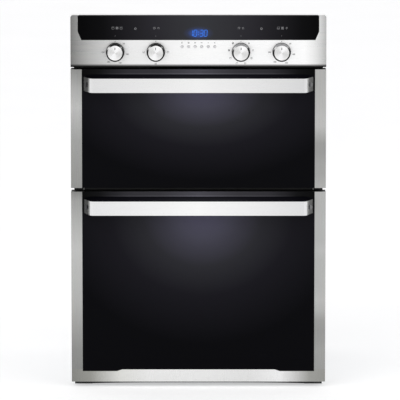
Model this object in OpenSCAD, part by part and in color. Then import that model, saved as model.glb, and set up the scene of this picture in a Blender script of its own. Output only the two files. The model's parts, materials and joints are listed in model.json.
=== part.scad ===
// Built-in double wall oven: control panel on top, a small cavity with a
// drop-down door under it and a tall fan cavity with its own door below.
// The front faces -Y, Z is up, and the origin is under the middle of the part.

/* [Front layout] */
// Width of the control panel and the doors
face_w = 595; // [580:1:640]
// Height of the lower door
lower_door_h = 450; // [420:1:500]
// Height of the upper door
upper_door_h = 278.5; // [260:0.5:330]
// Height of the control panel
fascia_h = 121; // [112:1:140]
// Height of the lower door above the base
plinth_gap = 12; // [10:0.5:24]
// Gap between the two doors
mid_gap = 8.5; // [6:0.5:14]
// Gap between the upper door and the control panel
top_gap = 5; // [4:0.5:12]

/* [Body] */
// Inset of the housing's side from the front's side edge
body_inset = 19.5; // [16.5:0.5:22]
// Space between the fan motor and the back panel
motor_room = 7.5; // [3:0.5:40]
// Inset of the front frame from the front's side edge
frame_inset = 6.5; // [2.5:0.5:8.5]
// Thickness of the front frame
frame_t = 2; // [1.5:0.1:3]
// Height of the relief under the middle of the front frame
arch_h = 3.3; // [1:0.1:6]
// Length of the full-height foot at each end of the front frame
frame_foot_w = 41; // [20:1:60]
// Thickness of the housing sheets
sheet = 1.2; // [0.8:0.1:2]
// Height of the two skids under the base
skid_h = 8; // [5:0.5:10]
// Width of each skid
skid_w = 16; // [10:1:24]
// Inset of the skids from the housing side
skid_inset = 14; // [8:1:60]
// Depth of the tall front part of the housing
bay_d = 158; // [120:1:200]
// Drop from the panel top to the tall part of the housing
bay_drop = 19; // [16:1:30]
// Drop from the panel top to the low rear deck
deck_drop = 50; // [48:1:60]

/* [Doors] */
// Thickness of a closed door
door_t = 38; // [36:1:46]
// Space between a closed door and the front frame
seal_gap = 4; // [3:0.5:6]
// Width of the steel strips down each side of a door
strip_w = 26; // [20:1:34]
// Thickness of the door's steel skin
skin = 1.5; // [1:0.1:2]
// Width of the steel lip behind each side strip
lip_w = 13; // [8:1:16]
// Height of the steel strip along the lower door's bottom edge
strip_h = 25; // [18:1:34]
// Extra height of that strip in the middle
badge_rise = 4; // [0:0.5:8]
// Half width of the raised middle of that strip
badge_half = 179; // [120:1:220]
// Length of each slope beside the raised middle
badge_slope = 12; // [6:1:30]
// Thickness of each door pane
glass_t = 4; // [3:0.5:5]
// Depth of the cut along the door's bottom rear edge
heel_y = 12; // [10:1:14]
// Height of the cut along the door's bottom rear edge
heel_z = 10; // [8:1:12]
// Height of the black cap on top of a door
cap_h = 10; // [8:1:14]
// Number of air slots in a door cap
cap_slots = 15; // [5:2:19]
// Pitch of the air slots in a door cap
cap_pitch = 34; // [28:1:34]
// Length of an air slot in a door cap
cap_slot_l = 24; // [10:1:24]
// Width of an air slot in a door cap
cap_slot_w = 5; // [3:0.5:8]
// Overlap of the inner pane past the cavity side
pane_lap = 22; // [18:0.5:22]
// Border between the inner pane's edge and its clear window
pane_border = 50; // [40:1:80]
// Width of the rails that hold the middle pane
rail_w = 12; // [10:1:12]
// Depth of the groove for the middle pane
groove_d = 6; // [4:0.5:8]

/* [Hinges] */
// Distance of the door pivot behind the door's face
hinge_y = 19; // [18:0.5:20]
// Height of the door pivot above the door's bottom edge
hinge_rise = 20; // [19:0.5:20]
// Inset of each hinge from the door's side edge
hinge_inset = 28.5; // [27.5:0.5:28.5]
// Thickness of the fixed hinge arm
arm_t = 6; // [4:0.5:6]
// Radius of the round end of the hinge arm
arm_r = 6; // [5:0.5:7]
// Radius of the hinge pin
pin_r = 3; // [2:0.5:3]
// Thickness of the door-side hinge cheeks
cheek_t = 2; // [1.5:0.1:2.5]
// Height of the door-side hinge leaf
leaf_h = 100; // [60:1:140]
// Depth of the hinge receiver in the housing
receiver_d = 120; // [80:1:160]

/* [Handles] */
// Distance of the bar's front from the door's face
handle_reach = 52; // [46:1:60]
// Height of the handle strap
handle_h = 33; // [26:1:40]
// Distance of the strap below the door's top edge
handle_drop = 16.5; // [12:0.5:30]
// Thickness of the handle strap
handle_t = 4; // [3:0.5:5]
// Inset of the strap's feet from the door's side edge
foot_inset = 28; // [27.5:0.5:47.5]
// Inset of the bar's sharp front corner from the door's side edge
bar_inset = 47.5; // [42.5:0.5:67.5]
// Radius of the strap's outer bends
handle_r = 10; // [6:1:14]
// Radius of the screw boss behind each strap end
boss_r = 6; // [5:0.5:8]
// Length of the screw boss
boss_l = 26; // [22:1:30]
// Radius of the handle screws
screw_r = 2; // [1.5:0.1:2.5]
// Radius of the handle screws' heads
screw_head_r = 4.5; // [3:0.5:5]
// Thickness of the handle screws' heads
screw_head_t = 3; // [2:0.5:4]
// Length of the handle screws
screw_l = 20; // [14:1:22]

/* [Control panel] */
// Size of the cut-off top corners
fascia_chamfer = 4; // [2:0.5:8]
// Radius along the panel's bottom edge
fascia_round = 4; // [2:0.5:6]
// Depth of the panel's flat top
fascia_top_d = 18; // [12:1:30]
// Drop of the panel's top at its rear edge
fascia_rear_drop = 10; // [8:1:16]
// Inset of the black glass from the panel's side at its top
insert_top_inset = 17; // [13.5:0.5:37.5]
// Inset of the black glass from the panel's side along its bottom edge
insert_low_inset = 25.5; // [13.5:0.5:57.5]
// Height of the black glass
insert_h = 57.5; // [50:0.5:66]
// Height of the slanted corner of the black glass
insert_slant_h = 20; // [5:1:40]
// Thickness of the black glass
insert_t = 2; // [2:0.5:3]
// Height by which the black glass stands proud of the steel
insert_proud = 0.5; // [0:0.1:1]
// Thickness of the plastic carrier behind the panel
carrier_t = 3; // [2:0.5:4]
// Distance of the outer knobs from the middle
knob_outer_x = 193.5; // [180:0.5:230]
// Distance of the inner knobs from the middle
knob_inner_x = 99; // [98:0.5:130]
// Height of the knob centres above the panel's bottom edge
knob_z = 35.4; // [30:0.2:40]
// Radius of a knob at its base
knob_r = 21; // [18:0.5:21]
// Distance of a knob's face in front of the panel
knob_reach = 26; // [20:1:34]
// Narrowing of a knob towards its face
knob_taper = 0.5; // [0:0.1:2]
// Size of the bevel around a knob's face
knob_bevel = 3; // [1:0.5:4]
// Thickness of a knob's skirt wall
knob_wall = 2.2; // [1.5:0.1:3]
// Radius of a knob's shaft
shaft_r = 3; // [2.5:0.5:4]
// Depth of a knob's shaft behind the panel
shaft_in = 20; // [12:1:24]
// Radius of the switch bodies
switch_r = 17; // [14:1:18]
// Depth of the switch bodies
switch_d = 26; // [25:1:32]
// Pitch of the six push buttons
button_pitch = 15.2; // [12:0.1:16]
// Height of the push buttons above the panel's bottom edge
button_z = 48; // [44:0.5:50]
// Radius of a push button
button_r = 3.2; // [2.5:0.1:4]
// Distance of a push button's face in front of the panel
button_reach = 2; // [1.5:0.1:3]
// Travel of a push button
button_travel = 1.2; // [0.8:0.1:1.5]
// Sideways offset of the clock display
display_x = 3; // [-10:1:10]
// Height of the display centre above the panel's bottom edge
display_z = 79.4; // [78:0.2:90]
// Width of the display window
display_w = 66; // [40:1:90]
// Height of the display window
display_h = 24; // [16:1:26]
// Distance of the two indicator lamps from the middle
indicator_x = 146.5; // [130:0.5:160]
// Height of the indicator lamps above the panel's bottom edge
indicator_z = 90; // [80:0.5:100]
// Radius of an indicator lamp
indicator_r = 2; // [1.5:0.5:3]

/* [Cavities] */
// Distance from the housing's side to the clear cavity
wall_room = 38; // [38:1:48]
// Radius of the cavity corners
cavity_r = 14; // [8:1:24]
// Clear height of the upper cavity
upper_cavity_h = 204; // [196:1:208]
// Height of the upper cavity floor above the upper door's bottom
upper_cavity_rise = 44; // [43:1:46]
// Clear depth of the upper cavity
upper_cavity_d = 400; // [380:1:430]
// Clear height of the lower cavity
lower_cavity_h = 350; // [340:1:356]
// Height of the lower cavity floor above the lower door's bottom
lower_cavity_rise = 50; // [42:1:54]
// Clear depth of the lower cavity, fan chamber included
lower_cavity_d = 430; // [420:1:440]
// Thickness of the cavity walls
liner_t = 1; // [0.8:0.1:1.5]
// Width of the flange around a cavity's mouth
flange_w = 16; // [12:1:18]
// Thickness of the insulation
wool_t = 20; // [14:1:20]
// Width of the door seal
seal_w = 10; // [8:1:12]
// Distance of the door seal from the cavity's edge
seal_inset = 3; // [2:0.5:6]

/* [Racks] */
// Radius of the guide wires
guide_r = 3; // [2:0.5:3.5]
// Distance between the two wires of a guide
guide_pitch = 17; // [16:1:20]
// Depth at which the guides start behind the frame
guide_y = 18; // [12:1:40]
// Length of the guides
guide_l = 340; // [300:1:344]
// Distance of the guides' wires from the cavity side
guide_gap = 8; // [7:0.5:10]
// Height of the first upper guide above its floor
upper_guide_z = 28; // [20:1:40]
// Spacing of the upper cavity's guides
upper_guide_step = 60; // [50:1:64]
// Number of guides in the upper cavity
upper_guides = 2; // [2:1:2]
// Height of the first lower guide above its floor
lower_guide_z = 36; // [30:1:50]
// Spacing of the lower cavity's guides
lower_guide_step = 70; // [60:1:76]
// Number of guides in the lower cavity
lower_guides = 4; // [4:1:4]
// Radius of a shelf's frame wire
shelf_r = 3.5; // [3:0.5:3.5]
// Radius of a shelf's cross wires
wire_r = 1.8; // [1.5:0.1:2.2]
// Radius of a shelf's front and rear wires
cross_r = 3; // [2.5:0.1:3.2]
// Distance of the first cross wire from a shelf's side
wire_margin = 20; // [12:1:30]
// Number of cross wires in a shelf
shelf_wires = 17; // [9:2:21]
// Depth of a shelf from front to back
shelf_d = 330; // [280:1:334]
// Height of the baking tray
tray_h = 28; // [16:1:40]
// Thickness of the baking tray
tray_t = 1.2; // [0.8:0.1:2]
// Radius of the tray's corners
tray_r = 18; // [10:1:30]

/* [Heating and air] */
// Radius of the heating elements' tube
tube_r = 3.3; // [3:0.1:4]
// Distance between the legs of a grill element
grill_pitch = 76; // [60:1:90]
// Length of a grill element's legs
grill_l = 250; // [200:1:290]
// Distance of a grill element's inner bend from the cavity's back
grill_inset = 60; // [50:1:80]
// Distance of the grill elements below the cavity roof
grill_drop = 16; // [10:1:24]
// Radius of the convection fan
fan_r = 72; // [60:1:75]
// Depth of the fan's blades
fan_blade_d = 20; // [14:1:24]
// Number of blades on the convection fan
fan_blades = 12; // [6:1:16]
// Radius of the ring element around the fan
ring_r = 92; // [88:1:96]
// Depth of the chamber behind the fan cover
chamber_d = 40; // [36:1:44]
// Half width of the fan cover
cover_half_w = 130; // [120:1:140]
// Height of the fan cover
cover_h = 250; // [240:1:270]
// Radius of the fan motor
motor_r = 32; // [24:1:40]
// Depth of the fan motor
motor_d = 40; // [30:1:44]
// Radius of the cooling blower's housing
blower_r = 72; // [60:1:80]
// Height of the cooling blower's housing
blower_h = 54; // [44:1:60]
// Distance of the cooling blower behind the frame
blower_y = 318; // [260:1:400]
// Half width of the cooling duct
duct_half_w = 110; // [80:1:150]
// Height of the cooling duct
duct_h = 16; // [12:1:20]
// Radius of the lamp lenses
lamp_r = 22; // [18:1:26]

/* [Rear connection] */
// Depth of the terminal box behind the housing
terminal_d = 18; // [16:1:30]
// Width of the terminal box
terminal_w = 90; // [60:1:120]
// Height of the terminal box
terminal_h = 60; // [40:1:80]
// Distance of the terminal box from the middle
terminal_x = 180; // [100:1:220]
// Drop of the terminal box below the rear deck
terminal_drop = 125; // [90:1:300]
// Radius of the cable hole in the gland
gland_r = 5; // [4:0.5:6]
// Length of the gland
gland_l = 20; // [12:1:30]

/* [Cabinet screws] */
// Radius of the fixing holes in the front frame
fix_r = 2.3; // [2:0.1:2.5]
// Distance of the fixing holes from the frame's side
fix_inset = 5.5; // [4.5:0.5:6]
// Height of the lower pair of fixing holes
fix_low_z = 130; // [60:1:300]
// Vertical distance between the fixing holes
fix_span_z = 560; // [300:1:600]

/* [Hidden] */
$fn = 48;

// Running clearances: between moving pieces, in bores, and under loose racks
clear = 0.3;
bore_clear = 0.05;
// Overshoot that keeps cuts clean
eps = 1;
// Air gap between a cavity's wall and its insulation
wool_gap = 0.3;
// Length of the fan motor's tail
motor_tail_d = 8;

// Levels of the front
lower_z = plinth_gap;
lower_top = lower_z + lower_door_h;
upper_z = lower_top + mid_gap;
upper_top = upper_z + upper_door_h;
fascia_z = upper_top + top_gap;
total_h = fascia_z + fascia_h;

// Depths behind the doors' faces
half_w = face_w / 2;
half_body = half_w - body_inset;
half_frame = half_w - frame_inset;
hinge_x = half_w - hinge_inset;
handle_foot_x = half_w - foot_inset;
handle_bar_x = half_w - bar_inset;
insert_top_x = half_w - insert_top_inset;
insert_low_x = half_w - insert_low_inset;
frame_y = door_t + seal_gap;
body_y = frame_y + frame_t;
lower_back = body_y + lower_cavity_d;
motor_y = lower_back + liner_t + wool_gap + wool_t;
back_y = motor_y + motor_d + motor_tail_d + motor_room + sheet;
front_y = (handle_reach - back_y - terminal_d) / 2;
bay_y = body_y + bay_d;
bay_top = total_h - bay_drop;
deck_top = total_h - deck_drop;
terminal_z = deck_top - terminal_drop;
base_z = skid_h;

// Cavities
half_cavity = half_body - wall_room;
upper_floor = upper_z + upper_cavity_rise;
lower_floor = lower_z + lower_cavity_rise;
upper_back = body_y + upper_cavity_d;
cover_y = lower_back - chamber_d;
fan_z = lower_floor + lower_cavity_h / 2;

// Heating and air: the leads' reach behind a cavity, the gap in the fan's ring element,
// the shaft, the motor's tail and lug, the lamps' places and the slots in the housing
grill_xs = [for (i = [0 : 3]) (i - 1.5) * grill_pitch];
lead_out = 26;
ring_gap = 24;
fan_shaft_r = 4;
motor_tail_r = 12;
motor_lug_w = 14;
motor_lug_h = 18;
motor_lug_t = 3;
lamp_side = 60;
lamp_drop = 52;
blower_cy = body_y + blower_y;
vent_pitch = 14;
vent_w = 4;
side_vent_h = 40;
side_hole_y = 110;
side_hole_r = 10;
top_vent_half = 45;
back_vent_h = 48;
back_vent_drop = 70;
base_vent_w = 24;
base_vent_l = 6;
base_vent_y = 70;
lead_hole_w = 24;
lead_hole_h = 20;

// Door build-up, with the gap under the inner pane
pane_low = 12;
glass_back = skin + glass_t;
pane_y = door_t - glass_t;
pan_y = pane_y - sheet;
pane_half = half_cavity + pane_lap;
rail_x = pane_half - rail_w - 2;
mid_pane_y = (glass_back + pan_y - glass_t) / 2;
notch_half = arm_t / 2 + cheek_t + 1.5;
notch_top = hinge_rise + 13;
boss_x = handle_foot_x - handle_t - boss_r;

// Control panel
carrier_y = skin;
carrier_back = carrier_y + carrier_t;
knob_xs = [-knob_outer_x, -knob_inner_x, knob_inner_x, knob_outer_x];
bezel_t = 1;
bezel_lap = 0.6;
board_y = carrier_back + 7;
board_t = 1.6;
board_half_w = 76;
board_low = 9;
board_high = 64;
key_half = 3;
post_low = 14;
post_high = 60;
post_r = 3;
switch_tip = 3.5;
// Blocks on the back of the board: from, to, depth, and heights on the panel
board_blocks = [[-50, -10, 14, 16, 40], [20, 60, 10, 20, 34]];

// Racks
guide_x = half_cavity - guide_gap;
shelf_x = guide_x - shelf_r;
shelf_lift = sqrt(pow(guide_r + shelf_r + clear, 2) - shelf_r * shelf_r);
upper_shelf_z = upper_floor + upper_guide_z + upper_guide_step + shelf_lift;
lower_shelf_z = lower_floor + lower_guide_z + 2 * lower_guide_step + shelf_lift;
tray_z = lower_floor + lower_guide_z + lower_guide_step + guide_r + clear;
blower_z = upper_floor + upper_cavity_h + liner_t + wool_gap + wool_t;

// Colours
steel = [0.74, 0.74, 0.72];
black = [0.07, 0.07, 0.08];
zinc = [0.66, 0.68, 0.7];
enamel = [0.16, 0.17, 0.2];
chrome = [0.85, 0.85, 0.86];
smoked = [0.1, 0.1, 0.13, 0.9];

// A box from its two corners, one pair of values per axis
module span(x, y, z) {
    translate([x[0], y[0], z[0]])
        cube([x[1] - x[0], y[1] - y[0], z[1] - z[0]]);
}

// Everything is drawn with y = 0 on the doors' faces and then moved to the origin
module place() {
    translate([0, front_y, 0]) children();
}

// The children and their mirror image on the other side
module pair() {
    children();
    mirror([1, 0, 0]) children();
}

// A flat outline in X and Z, pushed from y0 to y1
module along_y(y0, y1) {
    translate([0, y1, 0])
        rotate([90, 0, 0])
            linear_extrude(y1 - y0) children();
}

// A flat outline in Y and Z, pushed from x0 to x1
module along_x(x0, x1) {
    translate([x0, 0, 0])
        rotate([90, 0, 90])
            linear_extrude(x1 - x0) children();
}

// A round bar from y0 to y1 at one X and Z
module rod_y(x, z, r, y0, y1) {
    translate([x, y1, z])
        rotate([90, 0, 0]) cylinder(r = r, h = y1 - y0);
}

// A round bar from x0 to x1 at one Y and Z
module rod_x(y, z, r, x0, x1) {
    translate([x0, y, z])
        rotate([0, 90, 0]) cylinder(r = r, h = x1 - x0);
}

// A rectangle with round corners, half width hw, from z0 to z1
module round_rect(hw, z0, z1, r) {
    translate([-hw + r, z0]) square([2 * (hw - r), z1 - z0]);
    translate([-hw, z0 + r]) square([2 * hw, z1 - z0 - 2 * r]);
    for (x = [-hw + r, hw - r], z = [z0 + r, z1 - r])
        translate([x, z]) circle(r);
}

// ---- Housing ----

module front_frame() {
    color(black) place() difference() {
        span([-half_frame, half_frame], [frame_y, body_y], [0, bay_top]);
        span([-half_frame + frame_foot_w, half_frame - frame_foot_w],
            [frame_y - eps, body_y + eps], [-eps, arch_h]);
        cavity_mouth(upper_floor, upper_cavity_h);
        cavity_mouth(lower_floor, lower_cavity_h);
        span([-duct_half_w + liner_t, duct_half_w - liner_t], [frame_y - eps, body_y + eps],
            [blower_z + liner_t, blower_z + duct_h - liner_t]);
        pair() for (z = [upper_z, lower_z])
            span([hinge_x - arm_t / 2 - clear, hinge_x + arm_t / 2 + clear],
                [frame_y - eps, body_y + eps],
                [z + hinge_rise - arm_r - clear, z + hinge_rise + arm_r + clear]);
        pair() for (z = [fix_low_z, fix_low_z + fix_span_z])
            rod_y(half_frame - fix_inset, z, fix_r, frame_y - eps, body_y + eps);
    }
}

module cavity_mouth(floor_z, h) {
    along_y(frame_y - eps, body_y + eps)
        round_rect(half_cavity, floor_z, floor_z + h, cavity_r);
}

// Outline of the housing seen from the side
module side_outline() {
    polygon([[body_y, base_z], [back_y, base_z], [back_y, deck_top], [bay_y, deck_top],
        [bay_y, bay_top], [body_y, bay_top]]);
}

module side_panel() {
    difference() {
        along_x(half_body - sheet, half_body) side_outline();
        for (i = [0 : 7])
            span([half_body - sheet - eps, half_body + eps],
                [bay_y + 60 + i * vent_pitch, bay_y + 60 + i * vent_pitch + vent_w],
                [deck_top - side_vent_h - 20, deck_top - 20]);
        for (y = [body_y + side_hole_y, back_y - side_hole_y])
            along_x(half_body - sheet - eps, half_body + eps)
                translate([y, (lower_top + base_z) / 2]) circle(side_hole_r);
    }
}

module side_panel_left() { color(zinc) place() mirror([1, 0, 0]) side_panel(); }

module side_panel_right() { color(zinc) place() side_panel(); }

module back_panel() {
    inner = half_body - sheet;
    color(zinc) place() difference() {
        span([-inner, inner], [back_y - sheet, back_y], [base_z + sheet, deck_top - sheet]);
        for (i = [-6 : 6], z = [deck_top - back_vent_drop, fan_z - back_vent_h / 2])
            span([i * vent_pitch - vent_w / 2, i * vent_pitch + vent_w / 2],
                [back_y - sheet - eps, back_y + eps], [z, z + back_vent_h]);
        span([terminal_x - lead_hole_w / 2, terminal_x + lead_hole_w / 2],
            [back_y - sheet - eps, back_y + eps],
            [terminal_z + lead_hole_h, terminal_z + 2 * lead_hole_h]);
    }
}

module base_pan() {
    inner = half_body - sheet;
    skid_x = half_body - skid_inset - skid_w;
    color(zinc) place() {
        difference() {
            span([-inner, inner], [body_y, back_y], [base_z, base_z + sheet]);
            for (i = [-5 : 5])
                span([i * 3 * vent_pitch - base_vent_w / 2, i * 3 * vent_pitch + base_vent_w / 2],
                    [back_y - base_vent_y, back_y - base_vent_y + base_vent_l],
                    [base_z - eps, base_z + sheet + eps]);
        }
        pair() span([skid_x, skid_x + skid_w], [body_y + 16, back_y - 16], [0, base_z]);
    }
}

module top_cover() {
    inner = half_body - sheet;
    color(zinc) place() difference() {
        union() {
            span([-inner, inner], [body_y, bay_y], [bay_top - sheet, bay_top]);
            span([-inner, inner], [bay_y - sheet, bay_y], [deck_top - sheet, bay_top]);
            span([-inner, inner], [bay_y - sheet, back_y], [deck_top - sheet, deck_top]);
        }
        for (i = [-7 : 7])
            span([i * vent_pitch - vent_w / 2, i * vent_pitch + vent_w / 2],
                [blower_cy - top_vent_half, blower_cy + top_vent_half],
                [deck_top - sheet - eps, deck_top + eps]);
        for (i = [-9 : 9])
            span([i * 2 * vent_pitch - 10, i * 2 * vent_pitch + 10],
                [bay_y - 40, bay_y - 34], [bay_top - sheet - eps, bay_top + eps]);
    }
}

// ---- Cavities ----

module liner(floor_z, h, back) {
    difference() {
        union() {
            along_y(body_y, back + liner_t)
                round_rect(half_cavity + liner_t, floor_z - liner_t, floor_z + h + liner_t,
                    cavity_r + liner_t);
            along_y(body_y, body_y + liner_t)
                round_rect(half_cavity + flange_w, floor_z - flange_w,
                    floor_z + h + flange_w, cavity_r);
        }
        along_y(body_y - eps, back) round_rect(half_cavity, floor_z, floor_z + h, cavity_r);
    }
}

// The two straight ends of a grill element, at their X places
module grill_leads(floor_z, h, back, r) {
    for (x = [grill_xs[0], grill_xs[3]])
        rod_y(x, floor_z + h - grill_drop, r, back - 2 * eps, back + lead_out);
}

module upper_cavity() {
    color(enamel) place() difference() {
        liner(upper_floor, upper_cavity_h, upper_back);
        grill_leads(upper_floor, upper_cavity_h, upper_back, tube_r + clear);
        lamp_hole(upper_floor + upper_cavity_h, upper_back, lamp_r - 4);
    }
}

module lower_cavity() {
    color(enamel) place() difference() {
        liner(lower_floor, lower_cavity_h, lower_back);
        grill_leads(lower_floor, lower_cavity_h, lower_back, tube_r + clear);
        lamp_hole(lower_floor + lower_cavity_h, lower_back, lamp_r - 4);
        rod_y(0, fan_z, fan_shaft_r + 2, lower_back - eps, lower_back + 2 * eps);
        ring_leads(tube_r + clear, lower_back - 2 * eps);
    }
}

module lamp_hole(roof, back, r) {
    rod_y(half_cavity - lamp_side, roof - lamp_drop, r, back - eps, back + wool_t + 4);
}

module wool(floor_z, h, back) {
    hw = half_cavity + liner_t + wool_gap;
    low = floor_z - liner_t - wool_gap;
    high = floor_z + h + liner_t + wool_gap;
    inner_back = back + liner_t + wool_gap;
    difference() {
        span([-hw - wool_t, hw + wool_t], [body_y + liner_t + wool_gap, inner_back + wool_t],
            [low - wool_t, high + wool_t]);
        along_y(body_y, inner_back) round_rect(hw, low, high, cavity_r + liner_t);
        grill_leads(floor_z, h, inner_back, tube_r + 4);
        lamp_hole(floor_z + h, back, lamp_r + 2);
    }
}

module insulation() {
    color([0.86, 0.8, 0.62]) place() {
        wool(upper_floor, upper_cavity_h, upper_back);
        difference() {
            wool(lower_floor, lower_cavity_h, lower_back);
            rod_y(0, fan_z, motor_r - 8, lower_back, lower_back + wool_t + 4);
            ring_leads(tube_r + 4, lower_back);
        }
    }
}

module seal(floor_z, h) {
    inner = seal_inset;
    outer = seal_inset + seal_w;
    along_y(door_t + clear, frame_y) difference() {
        round_rect(half_cavity + outer, floor_z - outer, floor_z + h + outer, cavity_r + outer);
        round_rect(half_cavity + inner, floor_z - inner, floor_z + h + inner, cavity_r + inner);
    }
}

module door_seals() {
    color(black) place() {
        seal(upper_floor, upper_cavity_h);
        seal(lower_floor, lower_cavity_h);
    }
}

module door_buffers() {
    color([0.9, 0.9, 0.86]) place() pair() {
        span([hinge_x - 2, hinge_x + 1], [door_t + clear, frame_y],
            [lower_top - 8, upper_z - 1.5]);
        span([hinge_x - 2, hinge_x + 1], [door_t + clear, frame_y],
            [upper_top - 24, upper_top - 10]);
    }
}

// ---- Hinges ----

module receiver(door_z) {
    z = door_z + hinge_rise;
    box_half = arm_t / 2 + 2.5;
    difference() {
        union() {
            rod_x(hinge_y, z, arm_r, hinge_x - arm_t / 2, hinge_x + arm_t / 2);
            span([hinge_x - arm_t / 2, hinge_x + arm_t / 2], [hinge_y, body_y + 30],
                [z - arm_r, z + arm_r]);
            span([hinge_x - box_half, hinge_x + box_half], [body_y, body_y + receiver_d],
                [z - arm_r - 4, z + arm_r + 4]);
        }
        rod_x(hinge_y, z, pin_r + bore_clear, hinge_x - arm_t, hinge_x + arm_t);
        span([hinge_x - arm_t / 2, hinge_x + arm_t / 2],
            [body_y + 30, body_y + receiver_d - 4], [z - arm_r, z + arm_r + 4 + eps]);
    }
}

module hinge_receivers() {
    color(zinc) place() pair() {
        receiver(upper_z);
        receiver(lower_z);
    }
}

// ---- Racks ----

module guide_level(z) {
    for (dz = [0, guide_pitch])
        rod_y(guide_x, z + dz, guide_r, body_y + guide_y, body_y + guide_y + guide_l);
}

module guides(floor_z, first, step, count, h) {
    upright_r = 2.5;
    upright_x = guide_x + guide_r;
    pair() {
        for (i = [0 : count - 1]) guide_level(floor_z + first + i * step);
        for (y = [body_y + guide_y + 24, body_y + guide_y + guide_l - 24]) {
            translate([upright_x, y, floor_z + 14]) cylinder(r = upright_r, h = h - 28);
            for (z = [floor_z + 20, floor_z + h - 20])
                rod_x(y, z, upright_r, upright_x, half_cavity);
        }
    }
}

module upper_guide_wires() {
    color(chrome) place()
        guides(upper_floor, upper_guide_z, upper_guide_step, upper_guides, upper_cavity_h);
}

module lower_guide_wires() {
    color(chrome) place()
        guides(lower_floor, lower_guide_z, lower_guide_step, lower_guides, lower_cavity_h);
}

module shelf(z) {
    y0 = body_y + guide_y + 6;
    y1 = y0 + shelf_d;
    pitch = 2 * (shelf_x - wire_margin) / (shelf_wires - 1);
    pair() rod_y(shelf_x, z, shelf_r, y0, y1);
    for (y = [y0 + shelf_r, y1 - shelf_r]) rod_x(y, z, cross_r, -shelf_x, shelf_x);
    for (i = [0 : shelf_wires - 1])
        rod_y(-shelf_x + wire_margin + i * pitch, z, wire_r, y0 + shelf_r, y1 - shelf_r);
}

module upper_shelf() { color(chrome) place() shelf(upper_shelf_z); }

module lower_shelf() { color(chrome) place() shelf(lower_shelf_z); }

module baking_tray() {
    rim = 16;
    hw = shelf_x + shelf_r;
    y0 = body_y + guide_y + 6;
    y1 = y0 + shelf_d;
    color(enamel) place() difference() {
        union() {
            translate([0, 0, tray_z]) linear_extrude(tray_t)
                round_rect(hw, y0, y1, tray_r);
            translate([0, 0, tray_z + tray_t - tray_h]) linear_extrude(tray_h - tray_t / 2)
                round_rect(hw - rim, y0 + rim, y1 - rim, tray_r);
        }
        translate([0, 0, tray_z + 2 * tray_t - tray_h]) linear_extrude(tray_h)
            round_rect(hw - rim - tray_t, y0 + rim + tray_t, y1 - rim - tray_t,
                tray_r - tray_t);
    }
}

// ---- Heating ----

// A half-circle bend lying flat, centred at x, y, and bulging towards -Y or +Y
module bend(x, y, z, to_front) {
    translate([x, y, z])
        rotate([0, 0, to_front ? 180 : 0])
            rotate_extrude(angle = 180) translate([grill_pitch / 2, 0]) circle(tube_r);
}

module grill(floor_z, h, back) {
    z = floor_z + h - grill_drop;
    y1 = back - grill_inset;
    y0 = y1 - grill_l;
    for (x = [grill_xs[0], grill_xs[3]]) rod_y(x, z, tube_r, y0, back + lead_out);
    for (x = [grill_xs[1], grill_xs[2]]) rod_y(x, z, tube_r, y0, y1);
    bend((grill_xs[0] + grill_xs[1]) / 2, y0, z, true);
    bend(0, y1, z, false);
    bend((grill_xs[2] + grill_xs[3]) / 2, y0, z, true);
}

module upper_grill() {
    color([0.3, 0.28, 0.27]) place() grill(upper_floor, upper_cavity_h, upper_back);
}

module lower_grill() {
    color([0.3, 0.28, 0.27]) place() grill(lower_floor, lower_cavity_h, lower_back);
}

module ring_leads(r, y0) {
    for (x = [-ring_gap / 2, ring_gap / 2])
        rod_y(x, fan_z + ring_r, r, y0, lower_back + lead_out);
}

module fan_ring_element() {
    y = lower_back - 16;
    a = asin(ring_gap / 2 / ring_r);
    color([0.3, 0.28, 0.27]) place() {
        translate([0, y, fan_z]) rotate([90, 90 + a, 0])
            rotate_extrude(angle = 360 - 2 * a) translate([ring_r, 0]) circle(tube_r);
        ring_leads(tube_r, y);
    }
}

// A perforated five-sided cover over the fan
module fan_cover() {
    z0 = fan_z - cover_h / 2;
    z1 = fan_z + cover_h / 2;
    color([0.3, 0.31, 0.33]) place() difference() {
        span([-cover_half_w, cover_half_w], [cover_y, lower_back], [z0, z1]);
        span([-cover_half_w + sheet, cover_half_w - sheet], [cover_y + sheet, lower_back + eps],
            [z0 + sheet, z1 - sheet]);
        for (i = [-4 : 4])
            span([-cover_slot(i), cover_slot(i)], [cover_y - eps, cover_y + sheet + eps],
                [fan_z + i * 12 - 3, fan_z + i * 12 + 3]);
        for (i = [-6 : 6], s = [-1, 1])
            translate([0, 0, i * 16])
                span([s * (cover_half_w - 14) - 3, s * (cover_half_w - 14) + 3],
                    [cover_y - eps, cover_y + sheet + eps], [fan_z - 5, fan_z + 5]);
    }
}

// Half length of a cover slot that stays inside a round grille
function cover_slot(i) = sqrt(56 * 56 - i * i * 144);

module fan_motor() {
    end_y = motor_y + motor_d;
    color(zinc) place() difference() {
        union() {
            rod_y(0, fan_z, motor_r, motor_y, end_y);
            rod_y(0, fan_z, motor_tail_r, end_y - eps, end_y + motor_tail_d);
            span([-motor_r - motor_lug_w, motor_r + motor_lug_w],
                [motor_y, motor_y + motor_lug_t],
                [fan_z - motor_lug_h / 2, fan_z + motor_lug_h / 2]);
        }
        rod_y(0, fan_z, fan_shaft_r + bore_clear, motor_y - eps, end_y - 4);
    }
}

module convection_fan() {
    y1 = lower_back - 10;
    color([0.72, 0.73, 0.74]) place() {
        rod_y(0, fan_z, fan_shaft_r, y1 - fan_blade_d + 4, lower_back + wool_t + 20);
        rod_y(0, fan_z, 12, y1 - fan_blade_d + 4, y1 - eps / 2);
        rod_y(0, fan_z, fan_r - 14, y1 - 1.5, y1);
        translate([0, y1, fan_z]) rotate([90, 0, 0])
            for (i = [0 : fan_blades - 1]) rotate([0, 0, i * 360 / fan_blades])
                translate([fan_r - 34, -0.75, 0]) cube([34, 1.5, fan_blade_d]);
    }
}

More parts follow.
